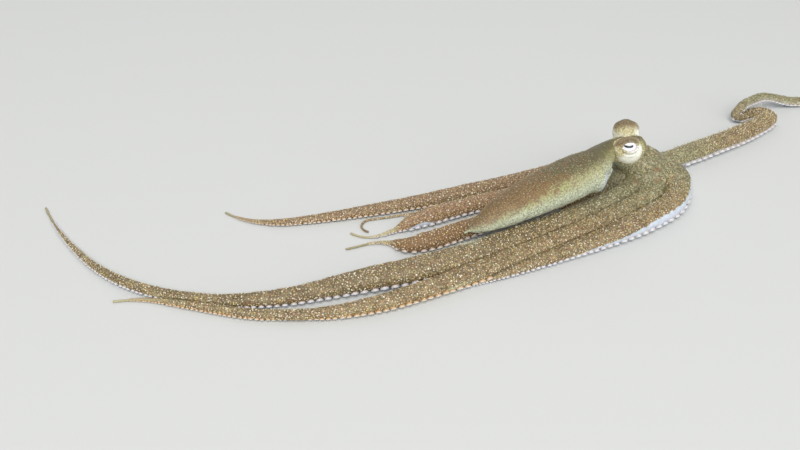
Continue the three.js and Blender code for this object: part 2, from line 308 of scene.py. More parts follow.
def mesh_piece(name, points, faces):
    mesh = bpy.data.meshes.new(name)
    mesh.from_pydata(points, [], faces)
    piece = bpy.data.objects.new(name, mesh)
    bpy.context.collection.objects.link(piece)
    return piece


def section_curve(name, flatness, middle=0):
    """A closed oval of half width 1, whose middle is at the given height, to thicken a curve with."""
    section = added(bpy.ops.curve.primitive_bezier_circle_add, radius=1)
    section.name = name
    section.data.resolution_u = 5  # steps for each quarter of the oval
    for point in section.data.splines[0].bezier_points:
        for place in (point.co, point.handle_left, point.handle_right):
            place.y = middle + place.y * flatness
    return section


def fleshy_tube(name, places, radii, section):
    """A closed tube along places in metres, with the section's shape and the given half widths."""
    curve = bpy.data.curves.new(name, "CURVE")
    curve.dimensions = "3D"
    curve.twist_mode = "Z_UP"
    curve.bevel_mode = "OBJECT"
    curve.bevel_object = section
    curve.use_fill_caps = True
    spline = curve.splines.new("POLY")
    spline.points.add(len(places) - 1)
    for point, place, radius in zip(spline.points, places, radii):
        point.co = (*place, 1)
        point.radius = radius
    tube = bpy.data.objects.new(name, curve)
    bpy.context.collection.objects.link(tube)
    choose(tube)
    bpy.ops.object.convert(target="MESH")
    tube = bpy.context.object
    with whole_mesh():
        bpy.ops.mesh.remove_doubles(threshold=1e-6)
        bpy.ops.mesh.normals_make_consistent(inside=False)
    return tube


def ball(name, centre, radii):
    """A rounded lump of flesh, its middle in millimetres from the mouth."""
    lump = added(bpy.ops.mesh.primitive_uv_sphere_add, segments=40, ring_count=24, radius=1)
    lump.name = name
    lump.scale = [radius * MM for radius in radii]
    lump.location = row_place(*centre)
    bpy.ops.object.transform_apply(location=True, rotation=False, scale=True)
    return lump


def vertex_rows(piece, key):
    rows = np.empty(len(piece.data.vertices) * 3)
    piece.data.vertices.foreach_get(key, rows)
    return rows.reshape(-1, 3)


def points_of(piece):
    return vertex_rows(piece, "co")


def set_points(piece, points):
    piece.data.vertices.foreach_set("co", points.ravel())
    piece.data.update()


def mark(piece, marks):
    """Keeps values of a piece's points on it, under their names."""
    for name, values in marks.items():
        attribute = piece.data.attributes.new(name, "FLOAT", "POINT")
        attribute.data.foreach_set("value", np.ascontiguousarray(values, dtype=np.float32))


# ---- The skin ----

VOXEL = 0.42
SKIN_FACES = 190000
THINNEST = 0.58  # half width of the skin at an arm's tip
SOLE_RISE = 0.12  # of the lowest skin above the floor
FLESH_STRIDE = 0.9  # between the rings of an arm's flesh
CROWN_LOW = ((1.4, 3.5, 6), (14.4, 13.4, 9.5))
CROWN_HIGH = ((-3.2, 3.1, 12), (10.8, 10.4, 8))
CROWN_SOLE = 0.4
FUNNEL_DEPTH = 0.15  # by which its skin lies inside the solid
# Between the roots of two arms, from WEB_START to the distance given.
WEBS = (("arm_right_1", "arm_right_2", 18), ("arm_right_2", "arm_right_3", 62),
        ("arm_right_3", "arm_right_4", 70), ("arm_right_4", "arm_left_4", 45),
        ("arm_left_4", "arm_left_3", 50), ("arm_left_3", "arm_left_2", 50), ("arm_left_2", "arm_left_1", 50))
WEB_START = 4
WEB_STRIDE = 1.5
WEB_STEPS = 6  # across
WEB_HEIGHT = 0.75  # of its edges at the crown, over each arm's half width
WEB_SINK = 0.6  # the share of that height which it loses to its end
WEB_THICKNESS = 1.8


def arm_flesh(name, section):
    places, radii = [], []
    for station in walk(ARMS[name], FLESH_STRIDE):
        slim = max(station.radius - COAT_DEPTH, THINNEST)
        sole = max(station.height + (station.radius - slim) * ARM_SQUASH, SOLE_RISE)
        places.append(row_place(station.x, station.y, sole))
        radii.append(slim * MM)
    return fleshy_tube(name + "_flesh", places, radii, section)


def axis_flesh(name, rows, section, slim=COAT_DEPTH):
    """A tube along rows of x, y, z, half width and half height."""
    places = [row_place(*row[:3]) for row in rows]
    radii = [max(row[3] - slim, 0.5) * MM for row in rows]
    return fleshy_tube(name + "_flesh", places, radii, section)


def crown_flesh():
    """The ring of arm roots: a low dome with a smaller one leaning back on it, cut level underneath."""
    low = ball("crown_low", *CROWN_LOW)
    high = ball("crown_high", *CROWN_HIGH)
    crown = join("crown_flesh", high, low)
    with whole_mesh():
        bpy.ops.mesh.bisect(plane_co=(0, 0, CROWN_SOLE * MM), plane_no=(0, 0, -1), clear_outer=True,
                            use_fill=True)
    return crown


def web_flesh(name, first, second, reach):
    """A low web of skin between the roots of two arms, from the crown to `reach` along both."""
    rows = []
    for walked in np.arange(WEB_START, reach, WEB_STRIDE):
        ends = []
        for arm in (first, second):
            station = WAYS[arm][station_number(arm, walked)]
            rise = station.radius * WEB_HEIGHT * (1 - WEB_SINK * walked / reach)
            ends.append(Vector((station.x, station.y, station.height + rise)))
        rows.append(ends)
    wide = WEB_STEPS + 1
    points = [row_place(*(start.lerp(end, step / WEB_STEPS))) for start, end in rows for step in range(wide)]
    corners = [row * wide + step for row in range(len(rows) - 1) for step in range(WEB_STEPS)]
    web = mesh_piece(name, points, [(k, k + 1, k + 1 + wide, k + wide) for k in corners])
    apply_modifier(web, "SOLIDIFY", thickness=WEB_THICKNESS * MM, offset=0)
    return web


def square_off(lump, centre, power):
    """Fills out a ball towards a block with rounded edges, as seen along the body's side."""
    middle = np.array(row_place(*centre))
    points = points_of(lump) - middle
    wide, high = np.abs(points[:, 0]), np.abs(points[:, 2])
    fuller = np.hypot(wide, high) / np.maximum((wide ** power + high ** power) ** (1 / power), 1e-9)
    points[:, 0] *= fuller
    points[:, 2] *= fuller
    set_points(lump, points + middle)


def join_flesh():
    """All the flesh as one closed surface, its creases still sharp."""
    sole_section = section_curve("sole_section", ARM_SQUASH, ARM_SQUASH)
    round_section = section_curve("round_section", MANTLE["flatness"])
    neck_section = section_curve("neck_section", NECK_FLATNESS)
    flesh = [arm_flesh(name, sole_section) for name in ARMS]
    flesh.append(axis_flesh("mantle", mantle_rows(), round_section))
    flesh.append(axis_flesh("neck", smooth_rows(NECK, 16), neck_section))
    flesh.append(axis_flesh("funnel", smooth_rows(FUNNEL, 10), neck_section, FUNNEL_DEPTH))
    flesh.append(crown_flesh())
    flesh += [web_flesh(f"web_{number}", *web) for number, web in enumerate(WEBS)]
    for lump in (SKULL, *TURRETS.values()):
        flesh.append(ball("head_flesh", lump.centre, [lump.radius * stretch for stretch in lump.stretch]))
    for turret, lump in zip(TURRETS.values(), flesh[-2:]):
        square_off(lump, turret.centre, turret.corners)
    skin = join("skin", *flesh)
    for section in (sole_section, round_section, neck_section):
        bpy.data.objects.remove(section)
    apply_modifier(skin, "REMESH", mode="VOXEL", voxel_size=VOXEL * MM, adaptivity=0)
    return skin


# The body is looked up by its middle lines: each row is x, y, z of a middle in metres, its half width in
# millimetres, the number of its part, its share of the way along it, and its heading in degrees.
PLACE, WIDTH, PART, SHARE, HEADING = slice(0, 3), 3, 4, 5, 6
ARM_NAMES = list(ARMS)
MANTLE_PART, HEAD_PART, CROWN_PART, FUNNEL_PART = 8, 9, 10, 11
CROWN_MIDDLES = (((1.5, 3.5, 5), 14.5), ((-1, 3.5, 9), 13), ((-4, 3, 13), 10.5))
ARMS_BEGIN = 12  # along each arm, before which its flesh counts as the crown's
NECK_ROWS = 9  # that count as the head's, before the mantle's begin


def middle_lines():
    rows = []
    for part, name in enumerate(ARM_NAMES):
        for station in WAYS[name]:
            if station.walked > ARMS_BEGIN:
                place = row_place(station.x, station.y, station.height + station.radius * ARM_SQUASH)
                rows.append((*place, station.radius, part, station.share, station.facing))
    mantle = mantle_rows(90)
    for step, (x, y, z, wide, _) in enumerate(mantle):
        rows.append((*row_place(x, y, z), wide, MANTLE_PART, step / (len(mantle) - 1), MANTLE["heading"]))
    lumps = [(row[:3], row[3], HEAD_PART) for row in smooth_rows(NECK, 12)[:NECK_ROWS]]
    lumps += [(lump.centre, lump.radius, HEAD_PART) for lump in (SKULL, *TURRETS.values())]
    lumps += [(centre, radius, CROWN_PART) for centre, radius in CROWN_MIDDLES]
    lumps += [(row[:3], row[3], FUNNEL_PART) for row in smooth_rows(FUNNEL, 6)]
    rows += [(*row_place(*centre), radius, part, 0, 0) for centre, radius, part in lumps]
    return np.array(rows)


MIDDLES = middle_lines()


def tree_of(rows):
    tree = KDTree(len(rows))
    for number, row in enumerate(rows):
        tree.insert(row[PLACE], number)
    tree.balance()
    return tree


def nearest_middles(points):
    """For each point, the number of the row of MIDDLES whose flesh it lies nearest to."""
    tree = tree_of(MIDDLES)
    chosen = np.empty(len(points), int)
    for index, point in enumerate(points):
        near = tree.find_n(point, 3)
        chosen[index] = min((distance - MIDDLES[number, WIDTH] * MM, number)
                            for _, number, distance in near)[1]

    def gaps(numbers):
        return np.linalg.norm(points - MIDDLES[numbers, PLACE], axis=1) - MIDDLES[numbers, WIDTH] * MM

    # A wide form may hold a point whose three nearest middles are all of thinner ones.
    best = gaps(chosen)
    wide = (MIDDLES[:, WIDTH] > 7) | np.isin(MIDDLES[:, PART], (HEAD_PART, FUNNEL_PART))
    for number in np.flatnonzero(wide):
        gap = gaps(number)
        closer = gap < best
        best[closer] = gap[closer]
        chosen[closer] = number
    return chosen


def bell(values, middle, width):
    return np.exp(-((values - middle) / width) ** 2)


def seen_from(points, middle):
    """The direction of each point from a middle, and its distance in millimetres."""
    away = points - np.array(middle)
    distance = np.linalg.norm(away, axis=1)
    return away / distance[:, None], distance / MM


def eye_distance(points):
    """How far each point lies from the middle of the nearer eye."""
    return np.min([seen_from(points, eye_place(side_name))[1] for side_name in TURRETS], axis=0)


SOFTENING = 7  # rounds of smoothing over the creases
SOFTENED = (1.0, 2.6)  # half widths of the flesh, at which the smoothing begins and is full
SOFT_LEVELS = 10


def soften_creases(skin):
    """Rounds the flesh where its forms meet, and spares the thin ends of the arms."""
    points = points_of(skin)
    share = smoothstep(MIDDLES[nearest_middles(points), WIDTH], *SOFTENED)
    group = skin.vertex_groups.new(name="broad")
    for level in range(1, SOFT_LEVELS + 1):
        chosen = np.flatnonzero(np.ceil(share * SOFT_LEVELS) == level)
        group.add(chosen.tolist(), level / SOFT_LEVELS, "REPLACE")
    apply_modifier(skin, "SMOOTH", factor=0.5, iterations=SOFTENING, vertex_group="broad")
    skin.vertex_groups.clear()


# Of each eye: how high the middle of its opening lies and half the opening's height, as sines seen from the
# eye's middle, and how thick its lids are.
Lids = namedtuple("Lids", "rise opening thickness")
LIDS = {"right": Lids(0.13, 0.46, 1.0), "left": Lids(-0.15, 0.34, 0.4)}
LID_WIDTH = 0.74  # half the opening, as such a sine
LID_ACROSS = -0.12  # of the opening's middle, ahead of the eye's
LID_CORNERS = 2.6  # the power of its outline
LID_GAP = 0.15  # between the eyeball and the lids
LID_REACH = 3.4  # from the eyeball to the end of the lids
LID_EDGE = 0.05  # within which points are drawn onto the edge of the opening
LID_FADE = (0.4, 0.8)  # outside the opening, over which the lids pass into the turret
SOCKET_DEPTH = 1  # of the skin inside the opening, under the eyeball's surface
BROW_RISE = 0.3  # above the opening's middle, at which the brow is full
# The lids' folds: how high each is, how far outside the opening, and how wide. The brow adds its own to them.
LID_FOLDS = ((0.5, 0.11, 0.09), (0.25, 0.42, 0.06))
BROW_FOLDS = ((0.35, 0.11, 0.09), (0.55, 0.3, 0.18))
FOLD_LIFT = 0.35  # the share of a fold that is added where the skin already stands clear of the ball


def lid_distance(directions, side_name):
    """How far a direction from the eye's middle lies inside the opening, and its shares of the eye's axes."""
    look, front, up = (np.array(axis) for axis in eye_axes(TURRETS[side_name].side))
    lids = LIDS[side_name]
    ahead, across, above = directions @ look, directions @ front, directions @ up
    off_middle = np.abs(np.clip(across - LID_ACROSS, -1, 1) / LID_WIDTH)
    return lids.opening * (1 - off_middle ** LID_CORNERS) - np.abs(above - lids.rise), ahead, across, above


def folded(inside, folds):
    return sum(height * bell(inside, -outside, width) for height, outside, width in folds)


def shape_lids(skin):
    """Opens each eye socket over its ball and folds the lids round it."""
    points = points_of(skin)
    for side_name, lids in LIDS.items():
        up = np.array(eye_axes(TURRETS[side_name].side)[2])
        directions, distance = seen_from(points, eye_place(side_name))
        inside, ahead, _, above = lid_distance(directions, side_name)
        near = (ahead > -0.1) & (distance < EYE_RADIUS + LID_REACH)
        # The points nearest to the edge of the opening are drawn onto it, which makes it a clean line.
        edge = near & (np.abs(inside) < LID_EDGE)
        shift = np.where(edge, np.sign(above - lids.rise) * inside, 0)
        directions = directions + shift[:, None] * up
        directions /= np.linalg.norm(directions, axis=1)[:, None]
        brow = smoothstep(above - lids.rise, 0, BROW_RISE)
        roll = lids.thickness * (folded(inside, LID_FOLDS) + brow * folded(inside, BROW_FOLDS))
        lid = np.maximum(EYE_RADIUS + LID_GAP + roll, distance + FOLD_LIFT * roll)
        lid += (distance - lid) * smoothstep(-inside, *LID_FADE)
        lid = np.maximum(lid, EYE_RADIUS + LID_GAP)
        target = np.where(edge, EYE_RADIUS + LID_GAP, np.where(inside > 0, EYE_RADIUS - SOCKET_DEPTH, lid))
        moved = distance + (target - distance) * smoothstep(ahead, -0.1, 0.2)
        moved = np.where(near, moved, distance)
        points = np.array(eye_place(side_name)) + directions * moved[:, None] * MM
    set_points(skin, points)


PRESSED_ARMS = (1, 2, 3)  # parts that lie against one another: the last three right arms
SEAM_WIDTH = 0.55
SEAM_DEPTH = 0.7
SEAM_CLEARANCE = (1.5, 3.5)  # from the second arm's flesh, over which a seam fades
GROOVE_DEPTH = 1.3
GROOVE = (0.9, 0.8)  # how far outside a turret the groove round it lies, and its width
SADDLE_DEPTH = 1.3  # of the dip between the turrets
SADDLE = (1, 2.2)  # how far outside both turrets it lies, and its width
# Along the mantle's opening: how high the lip and the dip behind it are, their share of the way, and width.
MANTLE_LIP = ((0.7, 0.015, 0.02), (-0.5, 0.075, 0.03))
UNEVEN = ((3.2, 0.2), (1.4, 0.13))  # the size of the flesh's unevenness, and how far it goes
EDGE_ROOM = 0.2  # that the skin keeps from the sides of the model's box, for its coat
TOP_ROOM = 0.1  # that it keeps from the top
TOP_EASE = 0.5  # over which the skin settles under the top of the box


def seams(points):
    """How near each point lies to the seam between two of the right arms that press together."""
    gaps = []
    for part in PRESSED_ARMS:
        rows = MIDDLES[MIDDLES[:, PART] == part]
        tree = tree_of(rows)
        found = [tree.find(point)[1:] for point in points]
        gaps.append([distance / MM - rows[number, WIDTH] for number, distance in found])
    first, second = np.sort(np.array(gaps), axis=0)[:2]
    return bell(second - first, 0, SEAM_WIDTH) * (1 - smoothstep(second, *SEAM_CLEARANCE))


def turret_folds(points):
    """How far the skin moves out, or in, at the groove round each turret and at the dip between them."""
    push, between = np.zeros(len(points)), 1
    from_eye = eye_distance(points)
    for turret in TURRETS.values():
        directions, distance = seen_from(points, row_place(*turret.centre))
        beyond = distance - turret.radius
        sunk = bell(beyond, *GROOVE) * smoothstep(beyond, -0.2, 0.5)
        sunk *= smoothstep(from_eye, EYE_RADIUS + 1.2, EYE_RADIUS + 3)
        push -= GROOVE_DEPTH * sunk * smoothstep(directions[:, 2], -0.8, -0.3)
        between = between * bell(beyond, *SADDLE)
    return push - SADDLE_DEPTH * between


def keep_in_box(points):
    """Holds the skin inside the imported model's box, and eases it under the top."""
    low, high = (np.array(corner) for corner in cad_box)
    inset = EDGE_ROOM * MM
    points = np.clip(points, low + (inset, inset, SOLE_RISE * MM / 2), high - (inset, inset, 0))
    ease = TOP_EASE * MM
    level = high[2] - TOP_ROOM * MM - ease
    over = np.maximum(points[:, 2] - level, 0)
    points[:, 2] = np.minimum(points[:, 2], level) + ease * np.tanh(over / ease)
    return points


def lift_of(points, chosen):
    """How high points lie on their flesh: -1 is its underside and 1 its top."""
    return (points[:, 2] - chosen[:, 2]) / MM / chosen[:, WIDTH]


def shape_folds(skin):
    """The folds at the turrets, the seams, the lip of the mantle's opening, and uneven flesh."""
    points = points_of(skin)
    chosen = MIDDLES[nearest_middles(points)]
    part, share = chosen[:, PART], chosen[:, SHARE]
    push = turret_folds(points)
    push -= SEAM_DEPTH * seams(points) * (part < MANTLE_PART)
    low_side = 1 - smoothstep(lift_of(points, chosen), 0.1, 0.7)
    lip = sum(height * bell(share, middle, width) for height, middle, width in MANTLE_LIP)
    push += np.where(part == MANTLE_PART, lip * low_side, 0)
    clear = smoothstep(eye_distance(points), EYE_RADIUS + 0.5, EYE_RADIUS + 3)
    for size, depth in UNEVEN:
        swing = np.array([noise.noise(Vector(place) / (size * MM)) for place in points])
        push += depth * swing * smoothstep(chosen[:, WIDTH], 1.5, 4) * clear
    set_points(skin, keep_in_box(points + vertex_rows(skin, "normal") * push[:, None] * MM))


HEAD_REACH = 9.5  # from an eye's middle, within which no triangle of the skin is given up
DECIMATE_CARE = 10


def thin_out(skin, faces):
    """Leaves about so many triangles on the skin, and spares the head."""
    apply_modifier(skin, "TRIANGULATE")
    group = skin.vertex_groups.new(name="plain")
    away = eye_distance(points_of(skin))
    group.add(np.flatnonzero(away > HEAD_REACH).tolist(), 1.0, "REPLACE")
    apply_modifier(skin, "DECIMATE", ratio=min(1.0, faces / len(skin.data.polygons)), vertex_group="plain",
                   vertex_group_factor=DECIMATE_CARE)
    skin.vertex_groups.clear()


# The last of these marks darkens the skin: painted shade in the arms' seams, in the groove under each turret
# and in the hollow under the neck, and a darker tone on some arms, on the far turret's top and on the forward
# arm's far part.
MARKS = ("under", "tip", "back", "far", "cream", "ochre", "mantle", "collar", "brown", "rust", "gold",
         "green", "painted_shade_and_tone")
RIGHT_1, RIGHT_2, LEFT_2, LEFT_3, LEFT_4 = 0, 1, 5, 6, 7
# For each arm: how high its pale underside reaches, where -1 is its sole and 1 its top; how pink it is, as
# the far arms are; how golden along its lower side; and how far it is darkened.
PALE_REACH = (-0.2, 0.4, -0.8, -0.6, -0.8, -0.8, -0.8, -0.8)
FAR_ARMS = (0, 0, 0, 0, 0.8, 0.8, 1, 1)
GILDED_ARMS = (0, 0, 0.8, 0.15, 0.6, 0.5, 0.1, 0.8)
DARKER_ARMS = (0, 0.08, 0, 0.26, 0.2, 0.2, 0, 0.38)
SCALLOPS = 4.6  # from one notch of the outermost arm's pale rim to the next
ROOT_SPOTS = ((5, 3, 15, 1.7), (8, 1, 12, 1.3), (10, -5, 8, 1.8), (10, -11, 7, 1.5), (3, -6, 13, 1.2))
PAINTED_NECK_SHADE = (-18, -7, 6)  # the middle of a painted dark green shade under the neck, in the hollow between the mantle's opening and the crown
BLUR, HEAD_BLUR = 12, 2  # rounds of blurring that the markings get


def of_arm(part, values, otherwise=0.0):
    """Each point's value, out of one for each arm and another for the rest of the body."""
    return np.append(values, [otherwise] * 4)[part]


def spread(skin, values, rounds):
    """Values on the skin's points, blurred over the surface."""
    edges = np.empty(len(skin.data.edges) * 2, int)
    skin.data.edges.foreach_get("vertices", edges)
    one, other = edges.reshape(-1, 2).T
    count = len(values)
    meetings = np.bincount(one, minlength=count) + np.bincount(other, minlength=count) + 1
    for _ in range(rounds):
        total = np.bincount(one, values[other], count) + np.bincount(other, values[one], count) + values
        values = total / meetings
    return values


def strengthen(marks, name, values):
    """Makes one of the markings at least as strong as the values."""
    marks[name] = np.maximum(marks[name], values)


def head_markings(points, marks):
    """The turrets: brown over the eye, cream before and under it, and ochre behind, with painted shade in the
    groove below each.
    """
    for side_name, turret in TURRETS.items():
        directions, distance = seen_from(points, eye_place(side_name))
        inside, ahead, across, above = lid_distance(directions, side_name)
        turned, away = seen_from(points, row_place(*turret.centre))
        on_turret = 1 - smoothstep(away, turret.radius + 0.5, turret.radius + 1.2)
        outer = smoothstep(ahead, -0.45, 0.05)
        if side_name == "right":
            lid = smoothstep(above - 0.15 * across, 0.22, 0.55) * outer
            cream = smoothstep(0.55 * across - above, -0.05, 0.3) * outer
            crest = smoothstep(turned[:, 2], 0.75, 0.95)
        else:
            # The far turret is seen from behind its eye: a brown crown, and cream down its front and sides.
            lid = smoothstep(above, 0.1, 0.5) * outer
            cream = np.maximum(smoothstep(turned[:, 0], 0.3, 0.75),
                               0.6 * smoothstep(-turned[:, 2], -0.55, -0.15))
            crest = smoothstep(turned[:, 2] + 0.25 * turned[:, 1], 0.6, 0.95)
            strengthen(marks, "painted_shade_and_tone", 0.4 * crest * on_turret)
        brown = np.maximum(lid, crest) * on_turret
        strengthen(marks, "brown", brown)
        strengthen(marks, "cream", cream * on_turret * (1 - 0.8 * brown))
        strengthen(marks, "ochre", on_turret)
        edge = bell(inside, -0.04, 0.05) * (1 - smoothstep(above, 0, 0.2)) * (distance < EYE_RADIUS + 1.2)
        strengthen(marks, "rust", 0.8 * edge * (ahead > 0))
        # Painted shade in the groove along the underside of each turret.
        ring = bell(away, turret.radius + 0.95, 0.45) * smoothstep(turned[:, 2], -0.85, -0.5)
        strengthen(marks, "painted_shade_and_tone", ring * (1 - smoothstep(turned[:, 0], 0.3, 0.7)))


def pale_reach(points, chosen):
    """How high the pale underside reaches at each point."""
    part, share = chosen[:, PART].astype(int), chosen[:, SHARE]
    reach = of_arm(part, PALE_REACH, -9)
    # The outermost arm shows its pale side only outwards, and less towards its tip.
    turn = np.radians(chosen[:, HEADING])
    offset = points - chosen[:, PLACE]
    outwards = (np.cos(turn) * offset[:, 1] - np.sin(turn) * offset[:, 0]) / MM / chosen[:, WIDTH]
    fading = 0.45 * smoothstep(share, 0.3, 0.5) + 0.7 * smoothstep(share, 0.5, 0.8)
    reach = np.where(part == RIGHT_2, reach - fading - 0.9 * (1 - smoothstep(outwards, 0, 0.5)), reach)
    reach = np.where(part == LEFT_3, reach + 0.95 * bell(share, 0.77, 0.06), reach)
    whole = of_arm(part, [WAYS[name][-1].walked for name in ARM_NAMES])
    notches = 0.1 * np.abs(np.sin(math.pi * share * whole / SCALLOPS))
    return np.where(part == RIGHT_2, reach + notches, reach)


def markings(skin):
    """How strong each of the skin's markings is at each of its points, from 0 to 1."""
    points = points_of(skin)
    chosen = MIDDLES[nearest_middles(points)]
    radius, part, share = chosen[:, WIDTH], chosen[:, PART].astype(int), chosen[:, SHARE]
    arm, mantle, head, crown = part < MANTLE_PART, part == MANTLE_PART, part == HEAD_PART, part == CROWN_PART
    lift, height = lift_of(points, chosen), points[:, 2] / MM
    squashed = np.where(arm, lift / ARM_SQUASH, lift)
    past_root = smoothstep(share, 0.12, 0.35)
    strip = smoothstep(share, 0.43, 0.5) * (part == RIGHT_1)  # the forward arm beyond its bends
    marks = {name: np.zeros(len(points)) for name in MARKS}

    reach = pale_reach(points, chosen)
    marks["under"] = np.select([arm, crown, mantle], [
        1 - smoothstep(squashed, reach - 0.12, reach + 0.12), 1 - smoothstep(height, 4, 5.5),
        0.9 * bell(share, 0, 0.03) * (1 - smoothstep(lift, -0.2, 0.3))])
    regrown = np.isin(part, (LEFT_2, LEFT_3, LEFT_4))
    tip = np.where(regrown, 1 - smoothstep(radius, 1.0, 2.8), smoothstep(share, 0.88, 1))
    tip = np.where(part == LEFT_2, 0.3 * tip, tip)
    marks["tip"] = np.select([arm, mantle], [tip, smoothstep(share, 0.94, 1)])
    marks["back"] = smoothstep(lift + 0.45 * smoothstep(share, 0.55, 0.95) * mantle, 0.35, 0.95)
    marks["far"] = of_arm(part, FAR_ARMS) * past_root
    gilding = of_arm(part, GILDED_ARMS) * (1 - smoothstep(squashed, -0.7, 0.3))
    marks["gold"] = np.maximum(gilding, 0.5 * (part == LEFT_4)) * past_root
    marks["mantle"] = np.where(mantle | head, 1.0, 0)
    front = (1 - smoothstep(share, 0.02, 0.3)) * (1 - smoothstep(lift, -0.1, 0.75))
    lip = bell(share, 0, 0.05) * (1 - smoothstep(lift, 0, 0.7))
    band = 1 - smoothstep(lift, -0.1, 0.4)
    marks["collar"] = np.select([mantle, head, part == FUNNEL_PART], [
        np.maximum(np.maximum(0.85 * front, lip), band), 1 - smoothstep(lift, -0.6, 0.3), 1])
    patch = 1.1 * bell(share, 0.42, 0.22) * bell(lift, 0.68, 0.34)
    patch += 0.95 * bell(share, 0.84, 0.26) * bell(lift, 0.55, 0.6)
    marks["rust"] = np.where(mantle, patch, 0.75 * (part == LEFT_4) * past_root)
    near_root = 1 - smoothstep(share * 250, 15, 60)
    marks["green"] = np.maximum(np.select([crown, arm], [smoothstep(height, 4, 9), near_root]), strip)
    marks["cream"] = 0.4 * bell(squashed, 0.05, 0.2) * strip
    marks["painted_shade_and_tone"] = np.maximum(of_arm(part, DARKER_ARMS), 0.15 * strip)
    for name in ("back", "mantle", "collar", "far", "green", "rust"):
        marks[name] = spread(skin, marks[name], BLUR)

    for *place, size in ROOT_SPOTS:
        distance = seen_from(points, row_place(*place))[1]
        strengthen(marks, "rust", 1 - smoothstep(distance, size * 0.6, size * 1.3))
    head_markings(points, marks)
    # Painted shade: the hollow under the neck, which lies in shadow, is darkened towards dark green.
    distance = seen_from(points, row_place(*PAINTED_NECK_SHADE))[1]
    strengthen(marks, "painted_shade_and_tone", 0.85 * (1 - smoothstep(distance, 2.5, 6)))
    for name in ("cream", "brown", "ochre"):
        marks[name] = spread(skin, marks[name], HEAD_BLUR)
    # Painted shade along the seams where the right arms press together.
    strengthen(marks, "painted_shade_and_tone", 0.9 * seams(points) * (arm | crown))
    return marks


def build_skin():
    skin = join_flesh()
    soften_creases(skin)
    shape_lids(skin)
    shape_folds(skin)
    thin_out(skin, SKIN_FACES)
    marks = markings(skin)
    mark(skin, marks)
    choose(skin)
    bpy.ops.object.shade_smooth()
    return skin, marks


skin, skin_marks = build_skin()

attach(skin, "root")
flesh_nodes = [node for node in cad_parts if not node.startswith("eye_")]
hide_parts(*flesh_nodes)

# ---- Small forms of the skin, each modelled once and copied ----

def edit_top(piece, steps):
    """Takes a piece's top face through steps of inset and lift, as (thickness, depth)."""
    bpy.ops.object.mode_set(mode="EDIT")
    bpy.ops.mesh.select_all(action="DESELECT")
    bpy.ops.object.mode_set(mode="OBJECT")
    top = max(piece.data.polygons, key=lambda face: face.center.z * (face.normal.z > 0.9))
    top.select = True
    bpy.ops.object.mode_set(mode="EDIT")
    bpy.ops.mesh.select_mode(type="FACE")
    for thickness, depth in steps:
        bpy.ops.mesh.inset(thickness=thickness, depth=depth)
    bpy.ops.object.mode_set(mode="OBJECT")


def model_sucker():
    """A cup of unit radius on a short stalk, opening along +Z."""
    cup = added(bpy.ops.mesh.primitive_cone_add, vertices=9, radius1=0.7, radius2=1, depth=0.5,
                location=(0, 0, 0.25))
    edit_top(cup, [(0.1, 0.14), (0.2, 0.02), (0.22, -0.3), (0.2, -0.12)])
    return cup


def model_grain():
    """A low rounded granule of unit radius, sunk a little into the skin."""
    grain = added(bpy.ops.mesh.primitive_cone_add, vertices=6, radius1=1, radius2=0.78, depth=0.55,
                  location=(0, 0, 0.1))
    edit_top(grain, [(0.36, 0.26)])
    return grain


PAPILLA_HEIGHT = 6  # of the model, in units of its radius


def model_papilla():
    """A slender soft spine, about one unit of radius at its root, bent a little."""
    spine = added(bpy.ops.mesh.primitive_cone_add, vertices=6, radius1=1.25, radius2=0.72, depth=1.6,
                  location=(0, 0, 0.5))
    edit_top(spine, [(0.1, 1.5), (0.12, 1.5), (0.2, 1.2)])
    for vertex in spine.data.vertices:
        vertex.co.x += 0.04 * max(vertex.co.z, 0) ** 2
    return spine


BOX_ROOM = 1e-5  # in metres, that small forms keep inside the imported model's box
PATCH = 0.003  # of a grain, on the unwrap of the skin
UNWRAP_ROWS = 12  # strips of the unwrap: eight arms, the mantle over two, the head and the crown


def unwrap(along, row):
    """A place on the unwrap, a share of the way along it and so many rows up."""
    return 0.02 + 0.96 * along, row / UNWRAP_ROWS


def scatter(name, model, stamps, marks=None):
    """One mesh of many copies of a model.

    Each stamp says where a copy stands, its direction, side, size, height and shade. With marks, it also says
    the vertex of the skin at its root, whose markings it takes, and its place on the unwrap.
    """
    shape = points_of(model)
    faces = [tuple(face.vertices) for face in model.data.polygons]
    count = len(shape)
    points = np.empty((len(stamps) * count, 3))
    for number, stamp in enumerate(stamps):
        up = Vector(stamp["direction"]).normalized()
        side = Vector(stamp["side"]) - up * up.dot(Vector(stamp["side"]))
        side = side.normalized() if side.length > 1e-6 else up.orthogonal().normalized()
        turn = np.array((side, up.cross(side), up))
        scale = np.array((stamp["size"], stamp["size"], stamp["height"])) * MM
        points[number * count:(number + 1) * count] = (shape * scale) @ turn + np.array(stamp["place"])
    every_face = [tuple(corner + number * count for corner in face) for number in range(len(stamps))
                  for face in faces]
    low, high = cad_box
    points = np.clip(points, np.array(low) + BOX_ROOM, np.array(high) - BOX_ROOM)
    piece = mesh_piece(name, points.tolist(), every_face)
    top = np.tile(np.clip(shape[:, 2] / shape[:, 2].max(), 0, 1), len(stamps))
    mark(piece, {"top": top, "shade": np.repeat([stamp["shade"] for stamp in stamps], count)})
    if marks:
        roots = np.array([stamp["root"] for stamp in stamps])
        mark(piece, {key: np.repeat(values[roots], count) for key, values in marks.items()})
        patch = shape[:, :2] / np.abs(shape[:, :2]).max() * PATCH / 2
        loop_points = np.empty(len(piece.data.loops), int)
        piece.data.loops.foreach_get("vertex_index", loop_points)
        number, vertex = np.divmod(loop_points, count)
        corners = np.array([stamp["uv"] for stamp in stamps])[number] + patch[vertex]
        layer = piece.data.uv_layers.new(name="OFBake")
        layer.data.foreach_set("uv", corners.astype(np.float32).ravel())
    bpy.data.objects.remove(model)
    choose(piece)
    bpy.ops.object.shade_smooth()
    return piece


